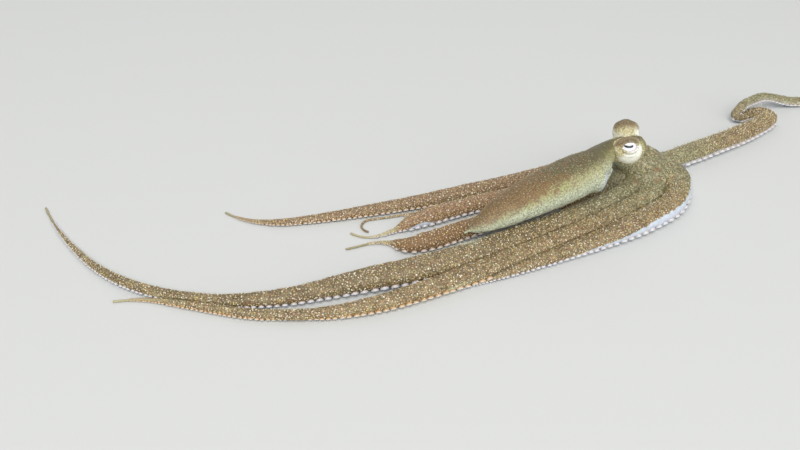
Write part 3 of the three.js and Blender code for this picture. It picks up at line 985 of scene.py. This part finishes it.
FACING_OUT = 0.55  # the least that the skin faces the way it's looked for, as a cosine
FULL_WIDTH = 4  # half width of the flesh from which its small forms are at their full size


def fullness(radius):
    return min(1.0, radius / FULL_WIDTH)


# A spot on the skin: its place, the way the skin faces, the skin's vertex there, the flesh's half width, the
# share of the way along its part, that way, and its place on the unwrap.
Spot = namedtuple("Spot", "place normal root radius share along uv")


class Ground:
    """The finished skin as ground for small forms: where it is, which way it faces and how it is marked."""

    def __init__(self, skin):
        self.faces = [tuple(face.vertices) for face in skin.data.polygons]
        self.tree = BVHTree.FromPolygons(points_of(skin).tolist(), self.faces)

    def snap(self, place, outwards, reach=1.6):
        """The nearest skin to a place, if it faces outwards there: place, normal and a vertex of it."""
        spot, normal, face, _ = self.tree.find_nearest(place, reach * MM)
        if spot is None or normal.dot(outwards) < FACING_OUT:
            return None
        return spot, normal, self.faces[face][0]


def jitter(k):
    """A place in the step after k, at random."""
    return k + random.uniform(0.1, 0.9)


def arm_spots(ground, name, spacing, low, high, start=14, end=1.0):
    """Spots spread over an arm between two angles, counted from straight sideways on its right side."""
    stations = WAYS[name]
    part = ARM_NAMES.index(name)
    walked = start
    while walked < stations[-1].walked * end:
        station = stations[station_number(name, walked)]
        radius = station.radius
        step = spacing * (0.45 + 0.55 * fullness(radius))
        turn = math.radians(station.facing)
        across = Vector((math.sin(turn), -math.cos(turn), 0))
        along = Vector((math.cos(turn), math.sin(turn), 0))
        round_about = max(2, int(math.radians(high - low) * radius * 0.9 / step))
        for k in range(round_about):
            angle = math.radians(low + (high - low) * jitter(k) / round_about)
            shift = random.uniform(-0.5, 0.5) * step
            outwards = across * math.cos(angle) + Vector((0, 0, math.sin(angle)))
            middle = row_place(station.x, station.y, station.height + radius * ARM_SQUASH)
            middle = middle + along * shift * MM
            squashed = across * math.cos(angle) + Vector((0, 0, ARM_SQUASH * math.sin(angle)))
            found = ground.snap(middle + squashed * radius * MM, outwards)
            if found:
                uv = unwrap(station.share, part + 0.1 + 0.8 * (angle / math.tau + 0.25))
                yield Spot(*found, radius, station.share, along, uv)
        walked += step


def mantle_spots(ground, spacing):
    rows = mantle_rows(400)
    places = [Vector(row[:3]) for row in rows]
    walked = [0.0]
    for before, after in zip(places, places[1:]):
        walked.append(walked[-1] + (after - before).length)
    along = (places[-1] - places[0]).normalized()
    across = Vector((along.y, -along.x, 0)).normalized()
    place_along = 0.8
    while place_along < walked[-1] - 1:
        x, y, z, wide, _ = rows[int(np.searchsorted(walked, place_along))]
        count = max(4, int(math.tau * wide / spacing))
        for k in range(count):
            angle = math.tau * jitter(k) / count
            outwards = across * math.cos(angle) + Vector((0, 0, math.sin(angle)))
            shift = along * random.uniform(-0.5, 0.5) * spacing * MM
            found = ground.snap(row_place(x, y, z) + outwards * wide * MM + shift, outwards)
            if found:
                share = place_along / walked[-1]
                yield Spot(*found, wide, share, along, unwrap(share, 8.1 + 1.8 * angle / math.tau))
        place_along += spacing


def ball_spots(ground, centre, radius, spacing, row):
    """Spots on a rounded lump, by turns of a golden spiral."""
    count = int(4 * math.pi * radius ** 2 / spacing ** 2)
    for k in range(count):
        rise = 1 - 2 * (k + 0.5) / count
        angle = k * math.pi * (3 - math.sqrt(5)) + random.uniform(-0.3, 0.3)
        flat = math.sqrt(1 - rise * rise)
        outwards = Vector((flat * math.cos(angle), flat * math.sin(angle), rise))
        found = ground.snap(row_place(*centre) + outwards * radius * MM, outwards, 2.4)
        if found:
            uv = unwrap((angle % math.tau) / math.tau, row + 0.1 + 0.8 * (rise + 1) / 2)
            yield Spot(*found, radius, 0.0, Vector((1, 0, 0)), uv)


GRAIN_SPACING = 1.14
BODY_SPACING = GRAIN_SPACING * 0.9
ARM_GRAINS = (0.2, 0.44)  # the least and the most radius of the granules
MANTLE_GRAINS = (0.16, 0.34)
HEAD_GRAINS = (0.14, 0.34)
LARGE_GRAINS = (0.06, 1.4)  # the share of the granules that are larger, and by how much
HEAD_ROW, CROWN_ROW = 10, 11  # of the unwrap
COATED_LUMPS = [(lump.centre, lump.radius, HEAD_ROW) for lump in (SKULL, *TURRETS.values())]
COATED_LUMPS.append(((0, 3.5, 7), 14, CROWN_ROW))


def clear_of_eyes(place):
    for side_name in TURRETS:
        away = place - eye_place(side_name)
        if away.length / MM < EYE_RADIUS + 2.4:
            inside, ahead, _, _ = lid_distance(np.array([away.normalized()]), side_name)
            if ahead[0] > -0.05 and inside[0] > -0.3:
                return False
    return True


def bare(root):
    """Whether the skin at one of its points is smooth, without granules."""
    return skin_marks["under"][root] > 0.45 or skin_marks["cream"][root] > random.uniform(0.2, 0.9)


def grain_stamp(spot, least, most):
    size = random.uniform(least, most) * (0.66 + 0.34 * fullness(spot.radius))
    if random.random() < LARGE_GRAINS[0]:
        size *= LARGE_GRAINS[1]
    return {"place": spot.place, "direction": spot.normal, "side": spot.along, "size": size,
            "height": size * random.uniform(0.8, 1.2), "root": spot.root, "uv": spot.uv,
            "shade": random.random()}


def build_coat(ground):
    """The granules of the skin, a piece for each arm and one for the body."""
    coats = []
    for name in ARM_NAMES:
        spots = arm_spots(ground, name, GRAIN_SPACING, -20, 200, end=0.93)
        stamps = [grain_stamp(spot, *ARM_GRAINS) for spot in spots if not bare(spot.root)]
        coats.append(scatter(f"granules_{name}", model_grain(), stamps, skin_marks))
    stamps = [grain_stamp(spot, *MANTLE_GRAINS) for spot in mantle_spots(ground, BODY_SPACING)
              if spot.normal.z > random.uniform(-0.6, 0.1)]
    for centre, radius, row in COATED_LUMPS:
        spots = ball_spots(ground, centre, radius, BODY_SPACING, row)
        stamps += [grain_stamp(spot, *HEAD_GRAINS) for spot in spots
                   if clear_of_eyes(spot.place) and not bare(spot.root)]
    coats.append(scatter("granules_body", model_grain(), stamps, skin_marks))
    return coats


SLENDER_REACH = 95  # along the right arms, from their roots, on which papillae are slender
# Of each kind of papilla: its half width at the root, and its least and most height.
SLENDER, STOUT = (0.21, 1, 2.2), (0.36, 0.7, 1.1)
TALL, ON_MANTLE = (0.34, 2.4, 3.2), (0.22, 0.7, 1.4)


def spine_stamp(spot, size, height, lean):
    """A papilla that leans along its part, and a little upwards."""
    direction = (spot.normal + Vector((0, 0, 0.4)) + spot.along * lean).normalized()
    return {"place": spot.place, "direction": direction, "side": spot.along, "size": size,
            "height": height / PAPILLA_HEIGHT, "root": spot.root, "uv": spot.uv,
            "shade": random.uniform(0.45, 1)}


def build_papillae(ground):
    """Soft spines: slender ones on the right arms' roots and the mantle, and low stout ones beyond."""
    stamps = []
    for name in ARM_NAMES:
        whole = WAYS[name][-1].walked
        for spot in arm_spots(ground, name, 3.4, 20, 160, end=0.85):
            slender = spot.share * whole < SLENDER_REACH and "right" in name
            if random.random() < (0.8 if slender else 0.3):
                size, least, most = SLENDER if slender else STOUT
                height = random.uniform(least, most) * (0.5 + 0.1 * spot.radius)
                stamps.append(spine_stamp(spot, size, height, random.uniform(-0.7, 0.7)))
    # A row of tall pale ones stands on the forward arm.
    for spot in arm_spots(ground, "arm_right_1", 9.5, 62, 112, start=36, end=0.42):
        stamps.append(spine_stamp(spot, TALL[0], random.uniform(*TALL[1:]), 0.2))
        stamps[-1]["shade"] = random.uniform(0.84, 0.95)
    for spot in mantle_spots(ground, 4.5):
        if spot.normal.z > 0 and random.random() < 0.2 + 0.4 * spot.share:
            stamps.append(spine_stamp(spot, ON_MANTLE[0], random.uniform(*ON_MANTLE[1:]), 0.5))
    return scatter("papillae", model_papilla(), stamps, skin_marks)


SUCKERS_BEGIN = 20  # along each arm
SUCKERS_END = 0.8  # half width of the arm beyond which it has none
SUCKER_REACH = 0.86  # of a cup's middle from the arm's middle line, in half widths
SUCKER_TILT = 58  # degrees below level that a cup faces
SUCKER_SHARE = 0.465  # of a cup's radius in the distance between two in a row
SUCKER_DEPTH = 1.25  # of a cup, in its radii
# From the lilac white of the front arms to the tan of those whose cups the skin half covers.
SUCKER_WARMTH = {"arm_right_1": 0.2, "arm_right_2": 0.08, "arm_right_3": 0.75, "arm_right_4": 0.1,
                 "arm_left_1": 0.6, "arm_left_2": 0.5, "arm_left_3": 0.15, "arm_left_4": 0.5}


def build_suckers():
    """Two rows of cups under each arm, showing along both of its lower edges."""
    rows = []
    tilt = math.radians(SUCKER_TILT)
    low, high = cad_box
    for name, warmth in SUCKER_WARMTH.items():
        stamps = []
        walked = SUCKERS_BEGIN
        side = 1
        while walked < WAYS[name][-1].walked:
            station = WAYS[name][station_number(name, walked) - 1]
            if station.radius < SUCKERS_END:
                break
            pitch = 0.6 + 0.6 * station.radius
            turn = math.radians(station.facing)
            across = Vector((math.sin(turn), -math.cos(turn), 0)) * side
            size = SUCKER_SHARE * pitch * random.uniform(0.9, 1.06)
            direction = across * math.cos(tilt) + Vector((0, 0, -math.sin(tilt)))
            middle = row_place(station.x, station.y, station.height + size * math.cos(tilt) + SOLE_RISE)
            middle += across * SUCKER_REACH * station.radius * MM
            rim = size * math.sin(tilt) * MM + EDGE_ROOM * MM
            for axis in (0, 1):
                middle[axis] = min(max(middle[axis], low[axis] + rim), high[axis] - rim)
            stamps.append({"place": middle - direction * size * SUCKER_DEPTH * 0.6 * MM,
                           "direction": direction, "side": (math.cos(turn), math.sin(turn), 0),
                           "size": size, "height": size * SUCKER_DEPTH,
                           "shade": warmth + random.uniform(-0.08, 0.08)})
            side = -side
            walked += pitch / 2
        rows.append(scatter(f"suckers_{name}", model_sucker(), stamps))
    return rows


def build_eye(side_name):
    """A finer eyeball in its socket, over the solid's own place."""
    eyeball = added(bpy.ops.mesh.primitive_uv_sphere_add, segments=64, ring_count=40,
                    radius=EYE_RADIUS * MM)
    eyeball.name = f"eyeball_{side_name}"
    turn = eye_turn(TURRETS[side_name].side).to_4x4()
    eyeball.matrix_world = Matrix.Translation(eye_place(side_name)) @ turn
    bpy.ops.object.transform_apply(location=True, rotation=True, scale=True)
    bpy.ops.object.shade_smooth()
    return eyeball


# ---- Finishes ----

def paint(red, green, blue):
    """A colour written as on a screen, 0 to 255, as the shader wants it."""
    shades = [value / 255 for value in (red, green, blue)]
    return tuple(((v + 0.055) / 1.055) ** 2.4 if v > 0.04 else v / 12.92 for v in shades) + (1.0,)


def shader_maths(operation, swapped=False):
    """One of the shader's sums, as a method of Value."""
    def method(self, other=0):
        first, second = (other, self) if swapped else (self, other)
        return self.finish.node("ShaderNodeMath", {"operation": operation}, {0: first, 1: second})
    return method


class Value:
    """A shader value that Python's own arithmetic works on."""

    def __init__(self, finish, socket):
        self.finish = finish
        self.socket = socket

    __add__, __radd__ = shader_maths("ADD"), shader_maths("ADD", swapped=True)
    __sub__, __rsub__ = shader_maths("SUBTRACT"), shader_maths("SUBTRACT", swapped=True)
    __mul__, __rmul__ = shader_maths("MULTIPLY"), shader_maths("MULTIPLY", swapped=True)
    __truediv__, __pow__ = shader_maths("DIVIDE"), shader_maths("POWER")
    size, root, most = shader_maths("ABSOLUTE"), shader_maths("SQRT"), shader_maths("MAXIMUM")

    def rise(self, low, high):
        """0 below low, 1 above high, and smooth between them."""
        settings = {"interpolation_type": "SMOOTHSTEP"}
        return self.finish.node("ShaderNodeMapRange", settings,
                                {"Value": self, "From Min": low, "From Max": high}, "Result")


class Finish:
    """A material under way: its nodes, and the shader that they feed."""

    def __init__(self, name):
        self.material = bpy.data.materials.new(name)
        self.material.use_nodes = True
        self.tree = self.material.node_tree
        self.shader = self.tree.nodes["Principled BSDF"]

    def put(self, entry, value):
        if isinstance(value, Value):
            self.tree.links.new(value.socket, entry)
        else:
            entry.default_value = value

    def node(self, kind, settings, sockets, output=0):
        node = self.tree.nodes.new(kind)
        for key, value in settings.items():
            setattr(node, key, value)
        for key, value in sockets.items():
            self.put(node.inputs[key], value)
        return Value(self, node.outputs[output])

    def attribute(self, name):
        return self.node("ShaderNodeAttribute", {"attribute_name": name}, {}, "Fac")

    def place(self):
        return self.node("ShaderNodeTexCoord", {}, {}, "Object")

    def noise(self, grain, detail=2, roughness=0.5):
        """Cloudy variation, with features about `grain` millimetres across."""
        return self.node("ShaderNodeTexNoise", {}, {"Vector": self.place(), "Scale": 1000 / grain,
                                                    "Detail": detail, "Roughness": roughness})

    def cells(self, grain, output="Distance"):
        """Rounded cells about `grain` millimetres apart."""
        return self.node("ShaderNodeTexVoronoi", {}, {"Vector": self.place(), "Scale": 1000 / grain}, output)

    def mix(self, share, first, second):
        return self.node("ShaderNodeMix", {"data_type": "RGBA"}, {0: share, 6: first, 7: second}, 2)

    def feed(self, **values):
        for key, value in values.items():
            self.put(self.shader.inputs[key.replace("_", " ")], value)

    def bump(self, height, depth):
        """Relief of `depth` millimetres."""
        self.feed(Normal=self.node("ShaderNodeBump", {}, {"Height": height, "Distance": depth * MM,
                                                          "Strength": 1.0}))


UMBER = paint(80, 66, 44)
BROWN = paint(114, 96, 62)
TAN = paint(180, 160, 114)
RUST = paint(158, 110, 66)
ORANGE_TAN = paint(142, 106, 58)
OLIVE = paint(100, 98, 62)
# The colour of the painted shade.
PAINTED_SHADE_GREEN = paint(60, 64, 42)
GREY_GREEN = paint(158, 164, 124)
YELLOW_GREEN = paint(178, 176, 112)
BELLY_GREEN = paint(222, 234, 212)
TIP_OLIVE = paint(184, 178, 138)
STRAW = paint(224, 208, 152)
SHELL_WHITE = paint(246, 242, 220)
GOLD = paint(224, 202, 122)
AMBER = paint(202, 150, 76)
OCHRE = paint(226, 216, 168)
PINK_TAN = paint(186, 136, 102)
LID_BROWN = paint(140, 118, 80)
CREAM = paint(236, 226, 182)
TURRET_WHITE = paint(252, 252, 240)
LILAC = paint(190, 184, 202)
LILAC_WHITE = paint(208, 219, 229)
CUP_GREY = paint(206, 200, 204)
IRIS_WHITE = paint(246, 247, 250)
IRIS_GREY = paint(214, 212, 224)
SLIT_BLUE = paint(170, 172, 196)
IRIS_EDGE = paint(186, 168, 176)
EYE_PINK = paint(214, 196, 182)
PUPIL_BLACK = paint(10, 10, 14)


def body_colour(finish):
    """The octopus's markings, the same on its skin and on its granules."""
    (under, tip, back, far, cream, ochre, mantle, collar, brown, rust, gold, green,
     painted_shade_and_tone) = (finish.attribute(name) for name in MARKS)
    broad = finish.noise(9, 3).rise(0.36, 0.64)
    patchy = finish.noise(2.6, 3, 0.6).rise(0.38, 0.64)
    tinge = finish.noise(1.7, 2).rise(0.42, 0.62)
    fine = finish.noise(0.8, 2, 0.6).rise(0.38, 0.6)

    # The arms and the crown, with their far, golden and green parts.
    arm = finish.mix(broad * 0.5 + patchy * 0.5, BROWN, TAN)
    arm = finish.mix(tinge * 0.5, arm, PINK_TAN)
    arm = finish.mix(green * 0.7, arm, GREY_GREEN)
    arm = finish.mix(far * 0.65, arm, PINK_TAN)
    arm = finish.mix(far * 0.08, arm, UMBER)
    arm = finish.mix(gold * 0.8, arm, AMBER)
    arm = finish.mix(fine * 0.5, arm, UMBER)
    freckles = finish.noise(2.1, 1).rise(0.6, 0.68) * green
    arm = finish.mix(freckles * 0.55, arm, RUST)
    tiles = finish.cells(1.1, "Color")
    arm = finish.mix(tiles.rise(0.62, 0.8) * (0.12 + green * 0.16), arm, CREAM)
    arm = finish.mix(tiles.rise(0.35, 0.15) * (0.15 + green * 0.22), arm, UMBER)

    # The mantle and the head.
    flank = finish.mix(patchy * 0.35, YELLOW_GREEN, CREAM)
    saddle = finish.mix(patchy * 0.5, OLIVE, BROWN)
    trunk = finish.mix((back + patchy * 0.3 - 0.15).rise(0.1, 0.9), flank, saddle)
    trunk = finish.mix((rust + patchy * 0.6 - 0.3).rise(0.05, 0.85) * 0.9, trunk, ORANGE_TAN)
    trunk = finish.mix(fine * 0.5 * (0.5 + back * 0.6), trunk, UMBER)

    # What lies over both, from the rusty spots to the turrets' own colours and the pale underside.
    colour = finish.mix(mantle, arm, trunk)
    colour = finish.mix((rust - mantle * 2).rise(0.2, 0.8) * 0.7, colour, RUST)
    colour = finish.mix(tip * 0.8, colour, TIP_OLIVE)
    colour = finish.mix(collar * (0.95 - fine * 0.25), colour, BELLY_GREEN)
    colour = finish.mix(ochre, colour, finish.mix(fine * 0.2, OCHRE, LID_BROWN))
    colour = finish.mix(brown * 0.9, colour, finish.mix(patchy * 0.3, LID_BROWN, RUST))
    colour = finish.mix(cream, colour, finish.mix(patchy * 0.12, TURRET_WHITE, CREAM))
    # Painted shade: dark green in the arms' seams, the turrets' grooves and the hollow under the neck; the
    # same colour gives some arms a darker tone.
    colour = finish.mix(painted_shade_and_tone * (0.45 + fine * 0.5), colour, PAINTED_SHADE_GREEN)
    edge = (under + (fine - 0.5) * 0.3).rise(0.3, 0.6)
    return finish.mix(edge, colour, finish.mix(patchy * 0.35, LILAC_WHITE, LILAC))


def finish_skin():
    finish = Finish("octopus_skin")
    pebbles = finish.cells(0.8)
    wrinkles = finish.noise(1.8, 4, 0.6)
    colour = body_colour(finish)
    smooth = finish.attribute("under").most(finish.attribute("tip")).most(finish.attribute("cream"))
    rough = 1 - smooth * 0.85
    # Painted shade in the grooves between the pebbles, where the bump sinks.
    colour = finish.mix(pebbles.rise(0.3, 0.75) * rough * 0.5, colour, UMBER)
    finish.feed(Base_Color=colour, Roughness=0.42 + wrinkles * 0.2, Coat_Weight=0.2, Coat_Roughness=0.35)
    finish.bump((1 - pebbles) * rough + wrinkles * 0.8, 0.35)
    return finish.material


def finish_coat():
    finish = Finish("octopus_granules")
    shade = finish.attribute("shade")
    top = finish.attribute("top")
    colour = body_colour(finish)
    mantle = finish.attribute("mantle")
    plain = finish.attribute("cream").most(finish.attribute("collar") * 0.6)
    plain = plain.most(finish.attribute("brown") * 0.85)
    grain = finish.mix(shade.rise(0.5, 0.8), STRAW, SHELL_WHITE)
    grain = finish.mix(shade.rise(0.88, 0.94), grain, GOLD)
    light = (0.3 + shade.rise(0.1, 0.8) * 0.6) * (1 - mantle * 0.6) * (1 - finish.attribute("green") * 0.4)
    colour = finish.mix(light * (0.35 + top * 0.65) * (1 - plain), colour, grain)
    finish.feed(Base_Color=colour, Roughness=0.45, Coat_Weight=0.15, Coat_Roughness=0.35)
    return finish.material


def finish_suckers():
    """Lilac white to tan by `shade`, paler on the rims than down the sides."""
    finish = Finish("sucker_flesh")
    top = finish.attribute("top")
    warmth = finish.attribute("shade")
    tinge = finish.noise(2, 2).rise(0.3, 0.7)
    rim = finish.mix(warmth * 0.6, LILAC_WHITE, CREAM)
    rim = finish.mix(tinge * 0.15, rim, PINK_TAN)
    stalk = finish.mix(warmth, CUP_GREY, AMBER)
    colour = finish.mix(top.rise(0.35, 0.8), stalk, rim)
    finish.feed(Base_Color=colour, Roughness=0.4, Coat_Weight=0.3, Coat_Roughness=0.25)
    finish.bump(finish.noise(0.5, 2), 0.08)
    return finish.material


# How far ahead of the eye's middle the slit's middle lies, and how far above it, in radii of the eye.
PUPILS = {"right": (-0.28, 0.29), "left": (-0.08, 0)}
PUPIL_BOW = 0.15
PUPIL_SLOPE = -0.1  # of the whole slit, down towards the front
PUPIL_HALF_LENGTH = 0.42
PUPIL_HALF_THICKNESS = 0.125


def finish_eye(side_name):
    """A white iris with a black slit bowed down in the middle like a smile, under a clear wet cornea."""
    finish = Finish(f"eye_{side_name}")
    side = TURRETS[side_name].side
    settled = finish.node("ShaderNodeMapping", {"vector_type": "TEXTURE"},
                          {"Vector": finish.place(), "Location": eye_place(side_name),
                           "Rotation": eye_turn(side).to_euler(), "Scale": (EYE_RADIUS * MM,) * 3})
    parts = finish.node("ShaderNodeSeparateXYZ", {}, {"Vector": settled}, "X")
    across = parts * -side
    above = Value(finish, parts.socket.node.outputs["Y"])
    pupil_across, pupil_rise = PUPILS[side_name]
    along_slit = across - pupil_across
    bowed = PUPIL_BOW * (1 - (along_slit / PUPIL_HALF_LENGTH) ** 2).most(0)
    from_line = (above - (pupil_rise + along_slit * PUPIL_SLOPE - bowed)).size()
    thickness = PUPIL_HALF_THICKNESS * (1 - (along_slit / PUPIL_HALF_LENGTH) ** 6).most(0).root()
    pupil = 1 - (from_line - thickness).rise(-0.012, 0.012)
    out = ((across - pupil_across) ** 2 + ((above - pupil_rise) / 0.75) ** 2).root()
    iris = finish.mix(finish.noise(0.35, 2) * 0.2, IRIS_WHITE, IRIS_GREY)
    iris = finish.mix((from_line - thickness).rise(0.1, 0.02) * 0.25, iris, SLIT_BLUE)
    iris = finish.mix(out.rise(0.62, 0.72) * 0.7, iris, IRIS_EDGE)
    iris = finish.mix(out.rise(0.8, 0.9), iris, EYE_PINK)
    colour = finish.mix(pupil, iris, PUPIL_BLACK)
    finish.feed(Base_Color=colour, Roughness=0.4, Coat_Weight=0.2, Coat_Roughness=0.15)
    return finish.material


# ---- Putting the pieces on the body ----

ground = Ground(skin)
coats = build_coat(ground)
papillae = build_papillae(ground)
suckers = build_suckers()
eyes = {side_name: build_eye(side_name) for side_name in TURRETS}

skin.data.materials.append(finish_skin())
coat_finish = finish_coat()
for piece in (*coats, papillae):
    piece.data.materials.append(coat_finish)
    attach(piece, "root")
sucker_finish = finish_suckers()
for piece in suckers:
    piece.data.materials.append(sucker_finish)
    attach(piece, "root")
for side_name, eyeball in eyes.items():
    eyeball.data.materials.append(finish_eye(side_name))
    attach(eyeball, "root")
    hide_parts(f"eye_{side_name}")

# ---- Camera, floor and light ----

CAMERA_FROM = (-118, -352.47, 223.7)
CAMERA_AIM = (-118, -33, 0)
LENS = 38.61  # on a sensor 36 wide
# Places in metres, sizes and powers of the three lamps, and what they are aimed at.
LAMPS = {"key_light": ((-0.2, -1.4, 1.9), 2, 54), "fill_light": ((1.5, -1.5, 0.9), 2, 18),
         "back_light": ((-0.25, 1.75, 1.6), 2, 14)}
LAMP_AIM = (-0.03, 0, 0)
FLOOR_SIZE = 6
FLOOR_GREY = (0.62, 0.62, 0.6, 1)
SKY = (0.9, 0.95, 1, 1)
SKY_STRENGTH = 0.32


def aim(thing, place, target):
    thing.location = place
    thing.rotation_euler = (Vector(target) - Vector(place)).to_track_quat("-Z", "Y").to_euler()


def build_stage():
    camera_data = bpy.data.cameras.new("camera")
    camera_data.lens = LENS
    camera_data.sensor_width = 36
    camera_data.clip_start = 0.01
    camera = bpy.data.objects.new("camera", camera_data)
    bpy.context.collection.objects.link(camera)
    aim(camera, row_place(*CAMERA_FROM), row_place(*CAMERA_AIM))
    bpy.context.scene.camera = camera

    for name, (place, size, power) in LAMPS.items():
        data = bpy.data.lights.new(name, "AREA")
        data.size = size
        data.energy = power
        light = bpy.data.objects.new(name, data)
        bpy.context.collection.objects.link(light)
        aim(light, place, LAMP_AIM)

    floor = added(bpy.ops.mesh.primitive_plane_add, size=FLOOR_SIZE)
    floor.name = "floor"
    material = bpy.data.materials.new("floor_paint")
    material.use_nodes = True
    shader = material.node_tree.nodes["Principled BSDF"]
    shader.inputs["Base Color"].default_value = FLOOR_GREY
    shader.inputs["Roughness"].default_value = 0.9
    floor.data.materials.append(material)

    world = bpy.data.worlds.new("world")
    world.use_nodes = True
    background = world.node_tree.nodes["Background"]
    background.inputs["Color"].default_value = SKY
    background.inputs["Strength"].default_value = SKY_STRENGTH
    bpy.context.scene.world = world
    bpy.context.scene.view_settings.view_transform = "Standard"


build_stage()
